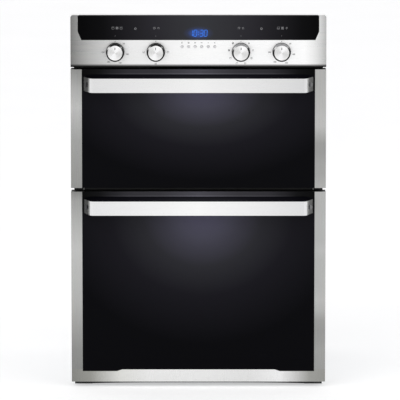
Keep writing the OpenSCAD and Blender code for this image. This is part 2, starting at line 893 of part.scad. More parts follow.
module lamp(roof, back) {
    x = half_cavity - lamp_side;
    z = roof - lamp_drop;
    rod_y(x, z, lamp_r, back - 4, back);
    rod_y(x, z, lamp_r - 3, back - 9, back - 3);
    rod_y(x, z, lamp_r - 5, back - eps, back + wool_t);
}

module oven_lamps() {
    color([0.95, 0.93, 0.85, 0.7]) place() {
        lamp(upper_floor + upper_cavity_h, upper_back);
        lamp(lower_floor + lower_cavity_h, lower_back);
    }
}

// ---- Cooling ----

module cooling_housing() {
    t = liner_t;
    rotor_r = blower_r - 12;
    color(zinc) place() difference() {
        union() {
            translate([0, blower_cy, blower_z]) cylinder(r = blower_r, h = blower_h);
            span([-duct_half_w, duct_half_w], [body_y, blower_cy],
                [blower_z, blower_z + duct_h]);
        }
        translate([0, blower_cy, blower_z + t])
            cylinder(r = blower_r - t, h = blower_h - 2 * t);
        span([-duct_half_w + t, duct_half_w - t], [body_y - eps, blower_cy - t],
            [blower_z + t, blower_z + duct_h - t]);
        translate([0, blower_cy, blower_z + blower_h - t - eps])
            cylinder(r = rotor_r - 10, h = t + 2 * eps);
        translate([0, blower_cy, blower_z - eps])
            cylinder(r = fan_shaft_r + bore_clear, h = t + 2 * eps);
    }
}

module cooling_rotor() {
    z0 = blower_z + liner_t + 4;
    r = blower_r - 14;
    blade_h = blower_h - 14;
    color(black) place() translate([0, blower_cy, 0]) {
        translate([0, 0, blower_z + clear]) cylinder(r = fan_shaft_r, h = blower_h - 16);
        translate([0, 0, z0]) cylinder(r = r, h = 2);
        for (i = [0 : 23]) rotate([0, 0, i * 15])
            translate([r - 14, -0.6, z0 + eps]) cube([13, 1.2, blade_h]);
    }
}

// ---- Rear connection ----

module terminal_box() {
    x = [terminal_x - terminal_w / 2, terminal_x + terminal_w / 2];
    gland_y = back_y + terminal_d / 2;
    color(black) place() difference() {
        union() {
            span(x, [back_y, back_y + terminal_d], [terminal_z, terminal_z + terminal_h]);
            translate([terminal_x, gland_y, terminal_z - gland_l])
                cylinder(r = terminal_d / 2 - 0.5, h = gland_l + eps);
        }
        span([x[0] + 2, x[1] - 2], [back_y - eps, back_y + terminal_d - 2],
            [terminal_z + 4, terminal_z + terminal_h - 2]);
        translate([terminal_x, gland_y, terminal_z - gland_l - eps])
            cylinder(r = gland_r, h = gland_l + 4 + 2 * eps);
    }
}

// ---- Control panel ----

// Side outline of the control panel
module fascia_side() {
    polygon([[0, fascia_z], [frame_y, fascia_z], [frame_y, total_h - fascia_rear_drop],
        [fascia_top_d, total_h], [0, total_h]]);
}

// Front outline of the control panel, pulled in by t
module fascia_front(t) {
    hw = half_w - t;
    c = fascia_chamfer;
    polygon([[-hw, fascia_z + t], [hw, fascia_z + t], [hw, total_h - c - t],
        [hw - c, total_h - t], [-hw + c, total_h - t], [-hw, total_h - c - t]]);
}

// Outline of the black glass, grown by g
module insert_outline(g) {
    low = total_h - insert_h - g;
    top_x = insert_top_x + g;
    low_x = insert_low_x + g;
    polygon([[-top_x, total_h + g], [top_x, total_h + g], [top_x, low + insert_slant_h],
        [low_x, low], [-low_x, low], [-top_x, low + insert_slant_h]]);
}

module at_knobs() {
    for (x = knob_xs) translate([x, 0, fascia_z + knob_z]) rotate([90, 0, 0]) children();
}

function button_x(i) = (i - 3.5) * button_pitch;

module fascia() {
    lip_y = frame_y - skin;
    color(steel) place() {
        difference() {
            intersection() {
                along_y(0, frame_y) fascia_front(0);
                along_x(-half_w, half_w) fascia_side();
            }
            intersection() {
                along_y(skin, frame_y + eps) fascia_front(skin);
                along_x(-half_w, half_w) fascia_inner();
            }
            along_y(-eps, skin + eps / 2) insert_outline(clear / 2);
            span([-insert_top_x - clear / 2, insert_top_x + clear / 2],
                [skin - eps / 2, frame_y + eps], [total_h - fascia_rear_drop - 2 * skin, total_h + eps]);
            bottom_edge_cut();
            at_knobs() translate([0, 0, -skin - eps]) cylinder(r = shaft_r + 2, h = skin + 2 * eps);
            for (i = [1 : 6])
                rod_y(button_x(i), fascia_z + button_z, button_r + clear, -eps, skin + eps);
        }
        pair() span([half_frame - 7, half_w - skin], [lip_y, frame_y],
            [fascia_z + skin, total_h - 2 * fascia_rear_drop]);
    }
}

// The hollow behind the panel, closed at the front, top and bottom
module fascia_inner() {
    polygon([[skin, fascia_z + skin], [frame_y + eps, fascia_z + skin],
        [frame_y + eps, total_h - fascia_rear_drop - skin],
        [fascia_top_d, total_h - skin], [skin, total_h - skin]]);
}

module bottom_edge_cut() {
    r = fascia_round;
    difference() {
        span([-half_w - eps, half_w + eps], [-eps, r], [fascia_z - eps, fascia_z + r]);
        rod_x(r, fascia_z + r, r, -half_w - 2 * eps, half_w + 2 * eps);
    }
}

module fascia_glass() {
    color(smoked) place()
        along_y(-insert_proud, insert_t - insert_proud) insert_outline(0);
}

module fascia_carrier() {
    hw = insert_top_x - 2;
    low = fascia_z + skin + fascia_round;
    post_x = 66;
    color(black) place() {
        difference() {
            span([-hw, hw], [carrier_y, carrier_back], [low, total_h - skin]);
            at_knobs() translate([0, 0, -carrier_back - eps])
                cylinder(r = shaft_r + 2, h = carrier_t + 2 * eps);
            for (i = [1 : 6])
                rod_y(button_x(i), fascia_z + button_z, button_r + clear,
                    carrier_y - eps, carrier_back + eps);
            span([display_x - display_w / 2, display_x + display_w / 2],
                [carrier_y - eps, carrier_back + eps],
                [fascia_z + display_z - display_h / 2, fascia_z + display_z + display_h / 2]);
            pair() rod_y(indicator_x, fascia_z + indicator_z, indicator_r + clear / 2,
                carrier_y - eps, carrier_back + eps);
        }
        along_x(-hw, hw) polygon([[carrier_back, total_h - skin], [carrier_back, total_h - 3 * skin],
            [fascia_top_d, total_h - 3 * skin], [frame_y, total_h - fascia_rear_drop - 2 * skin],
            [frame_y, total_h - fascia_rear_drop], [fascia_top_d, total_h], [carrier_y, total_h],
            [carrier_y, total_h - skin]]);
        pair() for (z = [fascia_z + post_low, fascia_z + post_high])
            rod_y(post_x, z, post_r, carrier_back - eps, board_y);
    }
}

module display_module() {
    z = fascia_z + display_z;
    color([0.05, 0.06, 0.1]) place() {
        span([display_x - display_w / 2 + clear, display_x + display_w / 2 - clear],
            [carrier_y, carrier_back],
            [z - display_h / 2 + clear, z + display_h / 2 - clear]);
        span([display_x - display_w / 2 - 4, display_x + display_w / 2 + 4],
            [carrier_back, carrier_back + 10], [z - display_h / 2 - 3, z + display_h / 2 + 3]);
    }
}

module control_board() {
    color([0.1, 0.35, 0.2]) place() {
        span([-board_half_w, board_half_w], [board_y, board_y + board_t],
            [fascia_z + board_low, fascia_z + board_high]);
        for (i = [1 : 6])
            translate([button_x(i), 0, fascia_z + button_z])
                span([-key_half, key_half], [board_y - switch_tip, board_y],
                    [-key_half, key_half]);
        for (b = board_blocks)
            span([b[0], b[1]], [board_y + board_t, board_y + b[2]],
                [fascia_z + b[3], fascia_z + b[4]]);
    }
}

module control_switches() {
    color([0.75, 0.72, 0.62]) place() at_knobs() difference() {
        union() {
            translate([0, 0, -carrier_back - switch_d]) cylinder(r = switch_r, h = switch_d);
            translate([-12, -12, -carrier_back - switch_d - 6]) cube([24, 24, 7]);
        }
        translate([0, 0, -shaft_in - 1])
            cylinder(r = shaft_r + bore_clear, h = shaft_in);
    }
}

module indicator_pipes() {
    color([0.85, 0.3, 0.2]) place() pair() {
        rod_y(indicator_x, fascia_z + indicator_z, indicator_r, carrier_y, carrier_back + 6);
        rod_y(indicator_x, fascia_z + indicator_z, indicator_r + 2, carrier_back,
            carrier_back + 6);
    }
}

module knob_bezels() {
    color(black) place() at_knobs() difference() {
        cylinder(r = knob_r + bezel_lap, h = bezel_t);
        translate([0, 0, -eps]) cylinder(r = shaft_r + 4, h = bezel_t + 2 * eps);
    }
}

module knob(i) {
    z0 = bezel_t + clear;
    roof = knob_reach - 6;
    inner = knob_r - knob_wall;
    rim = knob_r - knob_taper;
    face = rim - knob_bevel;
    color(chrome) place() translate([knob_xs[i - 1], 0, fascia_z + knob_z])
        rotate([90, 0, 0]) difference() {
            rotate_extrude() polygon([[0, -shaft_in], [shaft_r, -shaft_in], [shaft_r, z0],
                [shaft_r + 3, z0], [shaft_r + 3, roof], [inner, roof], [inner, z0], [knob_r, z0],
                [rim, knob_reach - knob_bevel], [face, knob_reach], [face - 0.6, knob_reach],
                [face - 1.2, knob_reach - 0.6], [0, knob_reach - 1]]);
            translate([-0.8, face - 9, knob_reach - 1.5]) cube([1.6, 6, 3]);
        }
}

module knob_1() { knob(1); }

module knob_2() { knob(2); }

module knob_3() { knob(3); }

module knob_4() { knob(4); }

module button(i) {
    stop = carrier_back + clear;
    color([0.6, 0.6, 0.6]) place() {
        rod_y(button_x(i), fascia_z + button_z, button_r, -button_reach, stop + eps / 2);
        rod_y(button_x(i), fascia_z + button_z, button_r + 1.4, stop,
            board_y - switch_tip - button_travel - clear);
    }
}

module button_1() { button(1); }

module button_2() { button(2); }

module button_3() { button(3); }

module button_4() { button(4); }

module button_5() { button(5); }

module button_6() { button(6); }

// ---- Doors: z = 0 is the door's bottom edge ----

module door_side(h) {
    polygon([[0, 0], [door_t - heel_y, 0], [door_t, heel_z], [door_t, h], [0, h]]);
}

module door_strips(h) {
    pair() {
        span([half_w - strip_w, half_w], [0, skin], [0, h]);
        along_x(half_w - skin, half_w) door_side(h);
        span([half_w - lip_w, half_w], [door_t - skin, door_t], [heel_z, h]);
    }
}

module upper_door_frame() {
    color(steel) place() translate([0, 0, upper_z]) door_strips(upper_door_h);
}

module lower_door_frame() {
    color(steel) place() translate([0, 0, lower_z]) {
        door_strips(lower_door_h);
        along_y(0, skin) polygon([[-half_w, 0], [half_w, 0], [half_w, strip_h],
            [badge_half + badge_slope, strip_h], [badge_half, strip_h + badge_rise],
            [-badge_half, strip_h + badge_rise], [-badge_half - badge_slope, strip_h],
            [-half_w, strip_h]]);
        span([-half_w, half_w], [0, glass_back], [0, skin]);
    }
}

module door_glass(h, z0) {
    hw = half_w - skin - clear;
    difference() {
        span([-hw, hw], [skin, glass_back], [z0, h]);
        pair() rod_y(boss_x, handle_z(h), screw_r + clear, skin - eps, glass_back + eps);
    }
}

function handle_z(h) = h - handle_drop - handle_h / 2;

module upper_door_glass() {
    color(smoked) place() translate([0, 0, upper_z]) door_glass(upper_door_h, 0);
}

module lower_door_glass() {
    color(smoked) place() translate([0, 0, lower_z]) door_glass(lower_door_h, skin);
}

module door_cap(h) {
    hw = half_w - skin - clear;
    reach = (cap_slots - 1) / 2;
    difference() {
        span([-hw, hw], [glass_back, door_t - skin], [h - cap_h, h]);
        span([-hw + 2, hw - 2], [glass_back + 2, door_t - skin - 2], [h - cap_h - eps, h - 2]);
        for (i = [-reach : reach])
            translate([i * cap_pitch, 0, 0])
                span([-cap_slot_l / 2, cap_slot_l / 2],
                    [door_t / 2 - cap_slot_w / 2, door_t / 2 + cap_slot_w / 2],
                    [h - 3, h + eps]);
    }
}

module upper_door_cap() {
    color(black) place() translate([0, 0, upper_z]) door_cap(upper_door_h);
}

module lower_door_cap() {
    color(black) place() translate([0, 0, lower_z]) door_cap(lower_door_h);
}

// Back pan of a door with its window, its heel and the rails of the middle pane
module door_pan(h) {
    hw = half_w - skin;
    win = pane_half - pane_border;
    top = h - cap_h;
    difference() {
        union() {
            span([-hw, hw], [pan_y, pane_y], [heel_z, top]);
            along_x(-hw, hw) polygon([[glass_back, 0], [door_t - heel_y, 0],
                [pane_y, heel_z - 2], [pane_y, heel_z], [pan_y, heel_z],
                [pan_y, heel_z - 1.5], [door_t - heel_y - 0.5, sheet], [glass_back, sheet]]);
            pair() span([rail_x, rail_x + rail_w], [glass_back, pan_y],
                [pane_low + 20, top - 8]);
        }
        span([-win, win], [pan_y - eps, pane_y + eps],
            [pane_low + pane_border, top - 4 - pane_border]);
        pair() span([hinge_x - notch_half, hinge_x + notch_half],
            [hinge_y - arm_r - 3, door_t + eps], [-eps, notch_top]);
        pair() span([rail_x - eps, rail_x + groove_d],
            [mid_pane_y - clear / 2, mid_pane_y + glass_t + clear / 2],
            [pane_low + 24, top]);
        pair() rod_y(boss_x, handle_z(h), screw_head_r + clear, glass_back - eps,
            glass_back + screw_head_t + clear);
    }
}

module upper_door_pan() {
    color(zinc) place() translate([0, 0, upper_z]) door_pan(upper_door_h);
}

module lower_door_pan() {
    color(zinc) place() translate([0, 0, lower_z]) door_pan(lower_door_h);
}

// Inner pane on the pan and middle pane in the rails
module door_panes(h) {
    top = h - cap_h - 4;
    mid = rail_x + groove_d - clear;
    span([-pane_half, pane_half], [pane_y, door_t], [pane_low, top]);
    span([-mid, mid], [mid_pane_y, mid_pane_y + glass_t], [pane_low + 24, top - 6]);
}

module upper_door_panes() {
    color([0.35, 0.37, 0.4, 0.5]) place() translate([0, 0, upper_z]) door_panes(upper_door_h);
}

module lower_door_panes() {
    color([0.35, 0.37, 0.4, 0.5]) place() translate([0, 0, lower_z]) door_panes(lower_door_h);
}

// Door-side hinge leaves with their pins, and the screws that hold the handle
module door_hinges(h) {
    gap = arm_t / 2 + clear;
    web_y = hinge_y - arm_r - 5;
    pair() {
        for (x = [hinge_x - gap - cheek_t, hinge_x + gap]) {
            span([x, x + cheek_t], [web_y, hinge_y + 9], [hinge_rise - 12, notch_top]);
            span([x, x + cheek_t], [web_y, pan_y], [notch_top, notch_top + leaf_h]);
        }
        span([hinge_x - gap - cheek_t, hinge_x + gap + cheek_t], [web_y, web_y + cheek_t],
            [hinge_rise - 12, notch_top + leaf_h]);
        rod_x(hinge_y, hinge_rise, pin_r, hinge_x - gap - eps, hinge_x + gap + eps);
        rod_y(boss_x, handle_z(h), screw_r, glass_back - screw_l, glass_back + eps);
        rod_y(boss_x, handle_z(h), screw_head_r, glass_back, glass_back + screw_head_t);
    }
}

module upper_door_hinges() {
    color(zinc) place() translate([0, 0, upper_z]) door_hinges(upper_door_h);
}

module lower_door_hinges() {
    color(zinc) place() translate([0, 0, lower_z]) door_hinges(lower_door_h);
}

// ---- Handles ----

// Lean of the strap's ends, and the centre of its outer bends
lean = atan((handle_foot_x - handle_bar_x) / (handle_reach + skin));
bend_x = handle_bar_x - handle_r * tan((90 - lean) / 2);
bend_y = -handle_reach + handle_r;

// Outline of the strap seen from above, pulled in by t and closed at the glass
module strap_outline(t) {
    r = handle_r - t;
    side = [bend_x + r * cos(lean), bend_y - r * sin(lean)];
    foot_x = side[0] + (skin - side[1]) * tan(lean);
    polygon([[-bend_x, bend_y - r], [bend_x, bend_y - r], [bend_x, bend_y], side,
        [foot_x, skin], [-foot_x, skin], [-side[0], side[1]], [-bend_x, bend_y]]);
    for (x = [-bend_x, bend_x]) translate([x, bend_y]) circle(r);
}

module handle(h) {
    z = handle_z(h) - handle_h / 2;
    difference() {
        union() {
            difference() {
                translate([0, 0, z]) linear_extrude(handle_h) strap_outline(0);
                translate([0, 0, z - eps]) linear_extrude(handle_h + 2 * eps)
                    inner_strap();
            }
            pair() rod_y(boss_x, handle_z(h), boss_r, skin - boss_l, skin);
        }
        pair() rod_y(boss_x, handle_z(h), screw_r + bore_clear, skin - screw_l, skin + eps);
    }
}

// The hollow inside the strap, run past the glass so that the feet stay open
module inner_strap() {
    strap_outline(handle_t);
    span_x = handle_foot_x - handle_t / cos(lean);
    translate([-span_x, skin - eps / 2]) square([2 * span_x, eps]);
}

module upper_handle() {
    color(steel) place() translate([0, 0, upper_z]) handle(upper_door_h);
}

module lower_handle() {
    color(steel) place() translate([0, 0, lower_z]) handle(lower_door_h);
}

front_frame();
side_panel_left();
side_panel_right();
back_panel();
base_pan();
top_cover();
upper_cavity();
lower_cavity();
insulation();
door_seals();
hinge_receivers();
upper_guide_wires();
lower_guide_wires();
upper_grill();
lower_grill();
fan_ring_element();
fan_cover();
fan_motor();
oven_lamps();
cooling_housing();
terminal_box();
door_buffers();
fascia();
fascia_glass();
fascia_carrier();
display_module();
control_board();
control_switches();
indicator_pipes();
knob_bezels();
convection_fan();
cooling_rotor();
upper_shelf();
lower_shelf();
baking_tray();
knob_1();
knob_2();
knob_3();
knob_4();
button_1();
button_2();
button_3();
button_4();
button_5();
button_6();
upper_door_frame();
upper_door_glass();
upper_door_cap();
upper_door_pan();
upper_door_panes();
upper_door_hinges();
upper_handle();
lower_door_frame();
lower_door_glass();
lower_door_cap();
lower_door_pan();
lower_door_panes();
lower_door_hinges();
lower_handle();
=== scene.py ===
import json
import math

import bpy
from bpy.props import FloatProperty, FloatVectorProperty, PointerProperty
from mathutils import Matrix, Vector

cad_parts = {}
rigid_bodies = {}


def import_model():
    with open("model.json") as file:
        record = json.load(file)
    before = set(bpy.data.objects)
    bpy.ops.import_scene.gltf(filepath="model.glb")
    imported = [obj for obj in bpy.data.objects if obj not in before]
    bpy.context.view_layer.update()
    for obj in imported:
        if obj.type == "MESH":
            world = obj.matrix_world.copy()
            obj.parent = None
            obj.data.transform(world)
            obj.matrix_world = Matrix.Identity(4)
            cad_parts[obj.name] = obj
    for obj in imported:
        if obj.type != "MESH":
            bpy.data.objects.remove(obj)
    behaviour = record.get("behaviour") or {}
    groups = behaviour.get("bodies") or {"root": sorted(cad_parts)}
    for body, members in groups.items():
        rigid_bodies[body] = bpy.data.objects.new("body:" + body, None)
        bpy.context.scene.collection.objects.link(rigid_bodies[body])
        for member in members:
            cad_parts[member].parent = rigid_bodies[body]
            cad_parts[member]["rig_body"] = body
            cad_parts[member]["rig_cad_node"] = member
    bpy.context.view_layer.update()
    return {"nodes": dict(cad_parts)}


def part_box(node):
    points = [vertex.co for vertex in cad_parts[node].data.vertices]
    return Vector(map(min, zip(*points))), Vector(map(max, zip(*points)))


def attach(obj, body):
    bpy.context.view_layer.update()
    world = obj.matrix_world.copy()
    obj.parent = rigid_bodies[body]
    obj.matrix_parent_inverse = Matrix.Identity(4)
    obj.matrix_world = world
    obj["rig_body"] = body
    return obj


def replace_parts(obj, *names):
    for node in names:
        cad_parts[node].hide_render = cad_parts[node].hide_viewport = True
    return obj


bl_info = {
    "name": "Built-in Double Oven",
    "version": (1, 0, 0),
    "blender": (4, 5, 0),
    "location": "View3D > Sidebar > Double Oven",
    "description": "Finishes and fine pieces of a built-in double wall oven",
    "category": "Object",
}

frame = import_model()

MM = 0.001


# ---- Places taken from the frame ----

def middle(node):
    """The centre of a node's box."""
    low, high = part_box(node)
    return (low + high) / 2


STEEL_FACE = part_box("fascia")[0].y
GLASS_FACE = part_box("fascia_glass")[0].y
KNOBS = [middle(f"knob_{i}") for i in range(1, 5)]
BUTTONS = [middle(f"button_{i}") for i in range(1, 7)]
KNOB_R = (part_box("knob_1")[1].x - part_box("knob_1")[0].x) / 2
DISPLAY = middle("display_module")
DOORS = ("upper", "lower")


# ---- Colours and nodes ----

def tone(code):
    """An sRGB hex colour as the linear RGBA that Blender's sockets take. A setting's is linear."""
    if not isinstance(code, str):
        return list(code)
    parts = [int(code[i:i + 2], 16) / 255 for i in (1, 3, 5)]
    return [c / 12.92 if c <= 0.04045 else ((c + 0.055) / 1.055) ** 2.4 for c in parts] + [1.0]


def given(thing, **settings):
    """Sets properties of a thing and gives it back."""
    for name, value in settings.items():
        setattr(thing, name, value)
    return thing


def grit(size):
    """A pattern's scale from its real size in millimetres."""
    return 1 / (size * MM)


class Nodes:
    """The shader tree of a material or a world, with a short name for each node in use."""

    def __init__(self, owner):
        self.owner = owner
        self.tree = owner.node_tree
        self.shader = self.tree.nodes.get("Principled BSDF")
        if self.shader:
            self.place = self.add("TexCoord")["Object"]

    def put(self, node, socket, value):
        """Links an output to a node's socket, or sets the socket's value or colour."""
        if isinstance(value, bpy.types.NodeSocket):
            self.tree.links.new(value, node.inputs[socket])
        else:
            value = tone(value) if isinstance(value, str) else value
            node.inputs[socket].default_value = value

    def add(self, kind, inputs=None, stops=None, **settings):
        """Adds a node with its inputs, colour stops and settings, and gives its outputs."""
        node = given(self.tree.nodes.new("ShaderNode" + kind), **settings)
        for i, (place, code) in enumerate((stops or {}).items()):
            elements = node.color_ramp.elements
            element = elements[i] if i < 2 else elements.new(place)
            given(element, position=place, color=tone(code))
        for socket, value in (inputs or {}).items():
            self.put(node, socket, value)
        return node.outputs

    def feed(self, **sockets):
        """Links outputs to the shader's sockets, or sets constants on them."""
        for socket, value in sockets.items():
            self.put(self.shader, socket.replace("_", " "), value)

    def base(self):
        """What the shader's base colour comes from."""
        return self.shader.inputs["Base Color"].links[0].from_socket

    def math(self, operation, *values):
        return self.add("Math", dict(enumerate(values)), operation=operation)[0]

    def length(self, vector):
        return self.add("VectorMath", {0: vector}, operation="LENGTH")["Value"]

    def split(self, vector=None):
        return self.add("SeparateXYZ", {"Vector": vector or self.place})

    def spread(self, value, low, high, least=0.0, most=1.0):
        """Maps low to high onto least to most."""
        return self.add("MapRange", {"Value": value, "From Min": low, "From Max": high,
                                     "To Min": least, "To Max": most})[0]

    def ramp(self, share, stops):
        return self.add("ValToRGB", {"Fac": share}, stops)[0]

    def mix(self, share, first, second, blend="MIX", **settings):
        return self.add("Mix", {0: share, 6: first, 7: second}, data_type="RGBA",
                        blend_type=blend, **settings)[2]

    def noise(self, scale, detail, vector=None, **sockets):
        """Noise in Object coordinates, unless another vector is given."""
        return self.add("TexNoise", {"Vector": vector or self.place, "Scale": scale,
                                     "Detail": detail, **sockets})

    def mapped(self, **sockets):
        """Object coordinates, moved, turned or stretched."""
        return self.add("Mapping", {"Vector": self.place, **sockets})[0]

    def bump(self, height, strength, depth):
        """A normal from a height; the depth is in millimetres."""
        return self.add("Bump", {"Height": height, "Strength": strength, "Distance": depth * MM})[0]


def finish(name, colour, **sockets):
    """A new material's nodes, with a Principled shader and its constants."""
    made = bpy.data.materials.new(name)
    made.use_nodes = True
    made.diffuse_color = tone(colour)
    nodes = Nodes(made)
    nodes.feed(Base_Color=colour, **sockets)
    return nodes


# ---- Finishes ----

def brushed_sheet(name, line_axis, sweep_axis, span, stops, roughness=0.3, right=None):
    """Stainless sheet, brushed with a belt along one axis.
    The belt leaves fine lines, drawn here 1.5 mm apart so that they show, and a painted sheen
    rolls from dull to bright along the sheet, as the stops say; right is the right half's own."""
    nodes = finish(name, list(stops.values())[len(stops) // 2], Metallic=1.0, Roughness=roughness,
                   Anisotropic=0.5)
    stretch = [grit(1.5)] * 3
    stretch[line_axis] = grit(90)
    lines = nodes.noise(1.0, 4.0, nodes.mapped(Scale=stretch), Roughness=0.6)
    parts = nodes.split()
    along = nodes.spread(parts[sweep_axis], *span)
    # Painted sheen: the colour rolls from dull to bright along the sheet, as the stops say.
    painted_sheen = nodes.ramp(along, stops)
    if right:
        half = nodes.math("GREATER_THAN", parts[0], 0.0)
        painted_sheen = nodes.mix(half, painted_sheen, nodes.ramp(along, right))
    brushed = nodes.mix(0.16, painted_sheen, lines["Color"], "OVERLAY")
    plain = nodes.add("HueSaturation", {"Color": brushed, "Saturation": 0.35})[0]
    dull = nodes.spread(lines[0], 0.3, 0.7, roughness - 0.05, roughness + 0.07)
    nodes.feed(Base_Color=plain, Roughness=dull, Normal=nodes.bump(lines[0], 0.05, 0.02))
    return nodes.owner


def painted_shade(metal, axis, span, stops):
    """Paints shade into a finish's colour along one axis, where the stops say: the painted shade of a
    turned edge or a return.
    """
    nodes = Nodes(metal)
    share = nodes.ramp(nodes.spread(nodes.split()[axis], *span), stops)
    nodes.feed(Base_Color=nodes.mix(1.0, nodes.base(), share, "MULTIPLY"))


def satin_bar(name, span):
    """Stainless bar, ground fine and polished to a bright satin, with a painted sheen along it and
    painted shade where its ends turn back.
    """
    # Painted sheen along the bar, with painted shade at both ends where they turn back.
    stops = {0.0: "#45454a", 0.023: "#404045", 0.03: "#e8e8e8", 0.045: "#d7d7d7", 0.29: "#e1e1e0",
             0.5: "#e9e9e7", 0.725: "#dfdfde", 0.955: "#d0d0d1", 0.97: "#e6e6e6", 0.977: "#6e6e72"}
    return brushed_sheet(name, 0, 0, span, stops, 0.2)


def spun_metal(name, centre, painted_crown, edge):
    """Chromed zinc knob, turned on a lathe: the rim carries a painted dark reflection with painted
    highlights, and the face keeps the tool's rings, drawn 0.8 mm apart so that they show, under
    painted highlights in fans. The crown is the painted reflection's tone round the top of the
    rim, and the edge the rim's painted dark glancing reflection."""
    nodes = finish(name, "#b9b9b9", Metallic=1.0, Roughness=0.18)
    parts = nodes.split(nodes.mapped(Location=-centre))
    flat = nodes.add("CombineXYZ", {"X": parts[0], "Y": parts[2]})[0]
    turn = nodes.math("ARCTAN2", parts[0], parts[2])
    # Painted highlight: the face is lighter in fans by the angle round its middle.
    wave = nodes.math("SINE", nodes.math("MULTIPLY_ADD", turn, 2.0, 0.9))
    lit = nodes.ramp(nodes.spread(wave, -1.0, 1.0), {
        0.0: "#d6d6d5", 0.45: "#e2e2e1", 0.8: "#eeeeee", 1.0: "#f8f8f8"})
    rings = nodes.add("TexWave", {"Vector": flat, "Scale": grit(0.8) / 20, "Distortion": 0.4},
                      wave_type="RINGS", rings_direction="SPHERICAL")
    ringed = nodes.mix(0.06, lit, rings[0], "OVERLAY")
    rim = nodes.math("GREATER_THAN", nodes.math("DIVIDE", nodes.length(flat), KNOB_R), 0.82)
    # Painted reflection on the rim: dark all round, with painted highlights near ten and two o'clock
    # and the crown's tone over the top.
    dark = nodes.ramp(nodes.spread(turn, -math.pi, math.pi), {
        0.0: "#19191b", 0.3: "#1e1e20", 0.34: "#d8d8d8", 0.37: "#d0d0d0", 0.41: painted_crown, 0.6: painted_crown,
        0.635: "#b4b4b4", 0.66: "#161618", 1.0: "#19191b"})
    # The rim's glancing reflection is painted dark through the specular tint.
    nodes.feed(Base_Color=nodes.mix(rim, ringed, dark), Normal=nodes.bump(rings[1], 0.06, 0.03),
               Specular_Tint=nodes.mix(rim, "#ffffff", edge))
    return nodes.owner


# How far right of the middle the glass's painted reflection is brightest
REFLECTION_ASIDE = 10 * MM


def toughened_glass(name, centre, reach, above, stops, glow=None, band=None):
    """Toughened float glass, printed black on its back, with a painted reflection that is lighter
    and a little blue in the middle; the face is smooth, with a roller's faint waves.
    The painted reflection fades out within the reach, to the sides and downwards, and within above
    upwards. A glow is light let through the print; a band is a lighter painted reflection, with a
    painted highlight along its lower edge."""
    nodes = finish(name, "#121214", Roughness=0.06, Specular_IOR_Level=0.03, IOR=1.52)
    parts = nodes.split()
    # Painted reflection: lighter round the centre, fading to the sides, downwards and upwards.
    aside = nodes.math("MULTIPLY_ADD", parts[0], 1 / reach[0], -REFLECTION_ASIDE / reach[0])
    below = nodes.math("MULTIPLY_ADD", parts[2], -1 / reach[1], centre / reach[1])
    over = nodes.math("MULTIPLY_ADD", parts[2], 1 / above, -centre / above)
    both = nodes.add("CombineXYZ", {"X": aside, "Y": nodes.math("MAXIMUM", below, over)})[0]
    shade = nodes.ramp(nodes.length(both), stops)
    # Painted reflection band below the upper edge, with a painted highlight along its lower edge,
    # darker towards the sides.
    if band:
        start, half, shades = band
        edge = nodes.spread(parts[2], start - 0.5 * MM, start + 0.3 * MM)
        rim = nodes.spread(parts[2], start + 1.8 * MM, start + 2.8 * MM, 1.9, 1.0)
        share = nodes.math("DIVIDE", nodes.math("ABSOLUTE", parts[0]), half)
        shade = nodes.mix(nodes.math("MULTIPLY", edge, rim), shade, nodes.ramp(share, shades),
                          clamp_factor=False)
    rolled, specks = nodes.noise(grit(120), 1.0), nodes.noise(grit(4), 5.0)
    nodes.feed(Base_Color=shade, Normal=nodes.bump(rolled[0], 0.02, 0.5),
               Roughness=nodes.spread(specks[0], 0.0, 1.0, 0.04, 0.09))
    if glow:
        at, size, shades = glow
        scale = [1 / s for s in size]
        about = nodes.mapped(Scale=scale, Location=[-c * s for c, s in zip(at, scale)])
        nodes.feed(Emission_Strength=1.0, Emission_Color=nodes.ramp(nodes.length(about), shades))
    return nodes.owner


def float_pane():
    """Clear float glass with a heat-reflecting coat, which leaves it slightly grey and glossy."""
    nodes = finish("coated_float_glass", "#9aa3a6", Roughness=0.03, IOR=1.52,
                   Transmission_Weight=0.85, Coat_Weight=0.3)
    haze = nodes.noise(grit(60), 4.0)
    nodes.feed(Base_Color=nodes.ramp(haze[0], {0.35: "#8d979b", 0.65: "#a9b1b3"}),
               Roughness=nodes.spread(haze[0], 0.0, 1.0, 0.02, 0.07))
    return nodes.owner


def moulded(name, colour, grain=0.8, roughness=0.45, depth=0.04, **sockets):
    """Moulded plastic or rubber: the tool's spark-eroded grain breaks up the gloss. A grain too fine
    to show is drawn at the given millimetres."""
    nodes = finish(name, colour, Roughness=roughness, **sockets)
    eroded, flow = nodes.noise(grit(grain), 3.0), nodes.noise(grit(35), 2.0)
    nodes.feed(Base_Color=nodes.mix(flow[0], colour, "#808080", "SOFT_LIGHT"),
               Roughness=nodes.spread(eroded[0], 0.0, 1.0, roughness - 0.08, roughness + 0.08),
               Normal=nodes.bump(eroded[0], 0.25, depth))
    return nodes.owner


def galvanised():
    """Hot-dip galvanised sheet: zinc freezes in spangles, about 9 mm across, each with a gloss of
    its own, under a thin grey bloom."""
    nodes = finish("galvanised_sheet", "#a9adb0", Metallic=0.85, Roughness=0.48)
    pushed = nodes.mix(0.005, nodes.place, nodes.noise(grit(14), 2.0)["Color"])
    spangle = nodes.add("TexVoronoi", {"Vector": pushed, "Scale": grit(9)})
    grey = nodes.add("SeparateColor", {"Color": spangle["Color"]})
    zinc = nodes.ramp(grey[0], {0.0: "#9da1a4", 0.5: "#a8acaf", 1.0: "#b3b7ba"})
    nodes.feed(Base_Color=zinc, Roughness=nodes.spread(grey[1], 0.0, 1.0, 0.44, 0.54))
    return nodes.owner


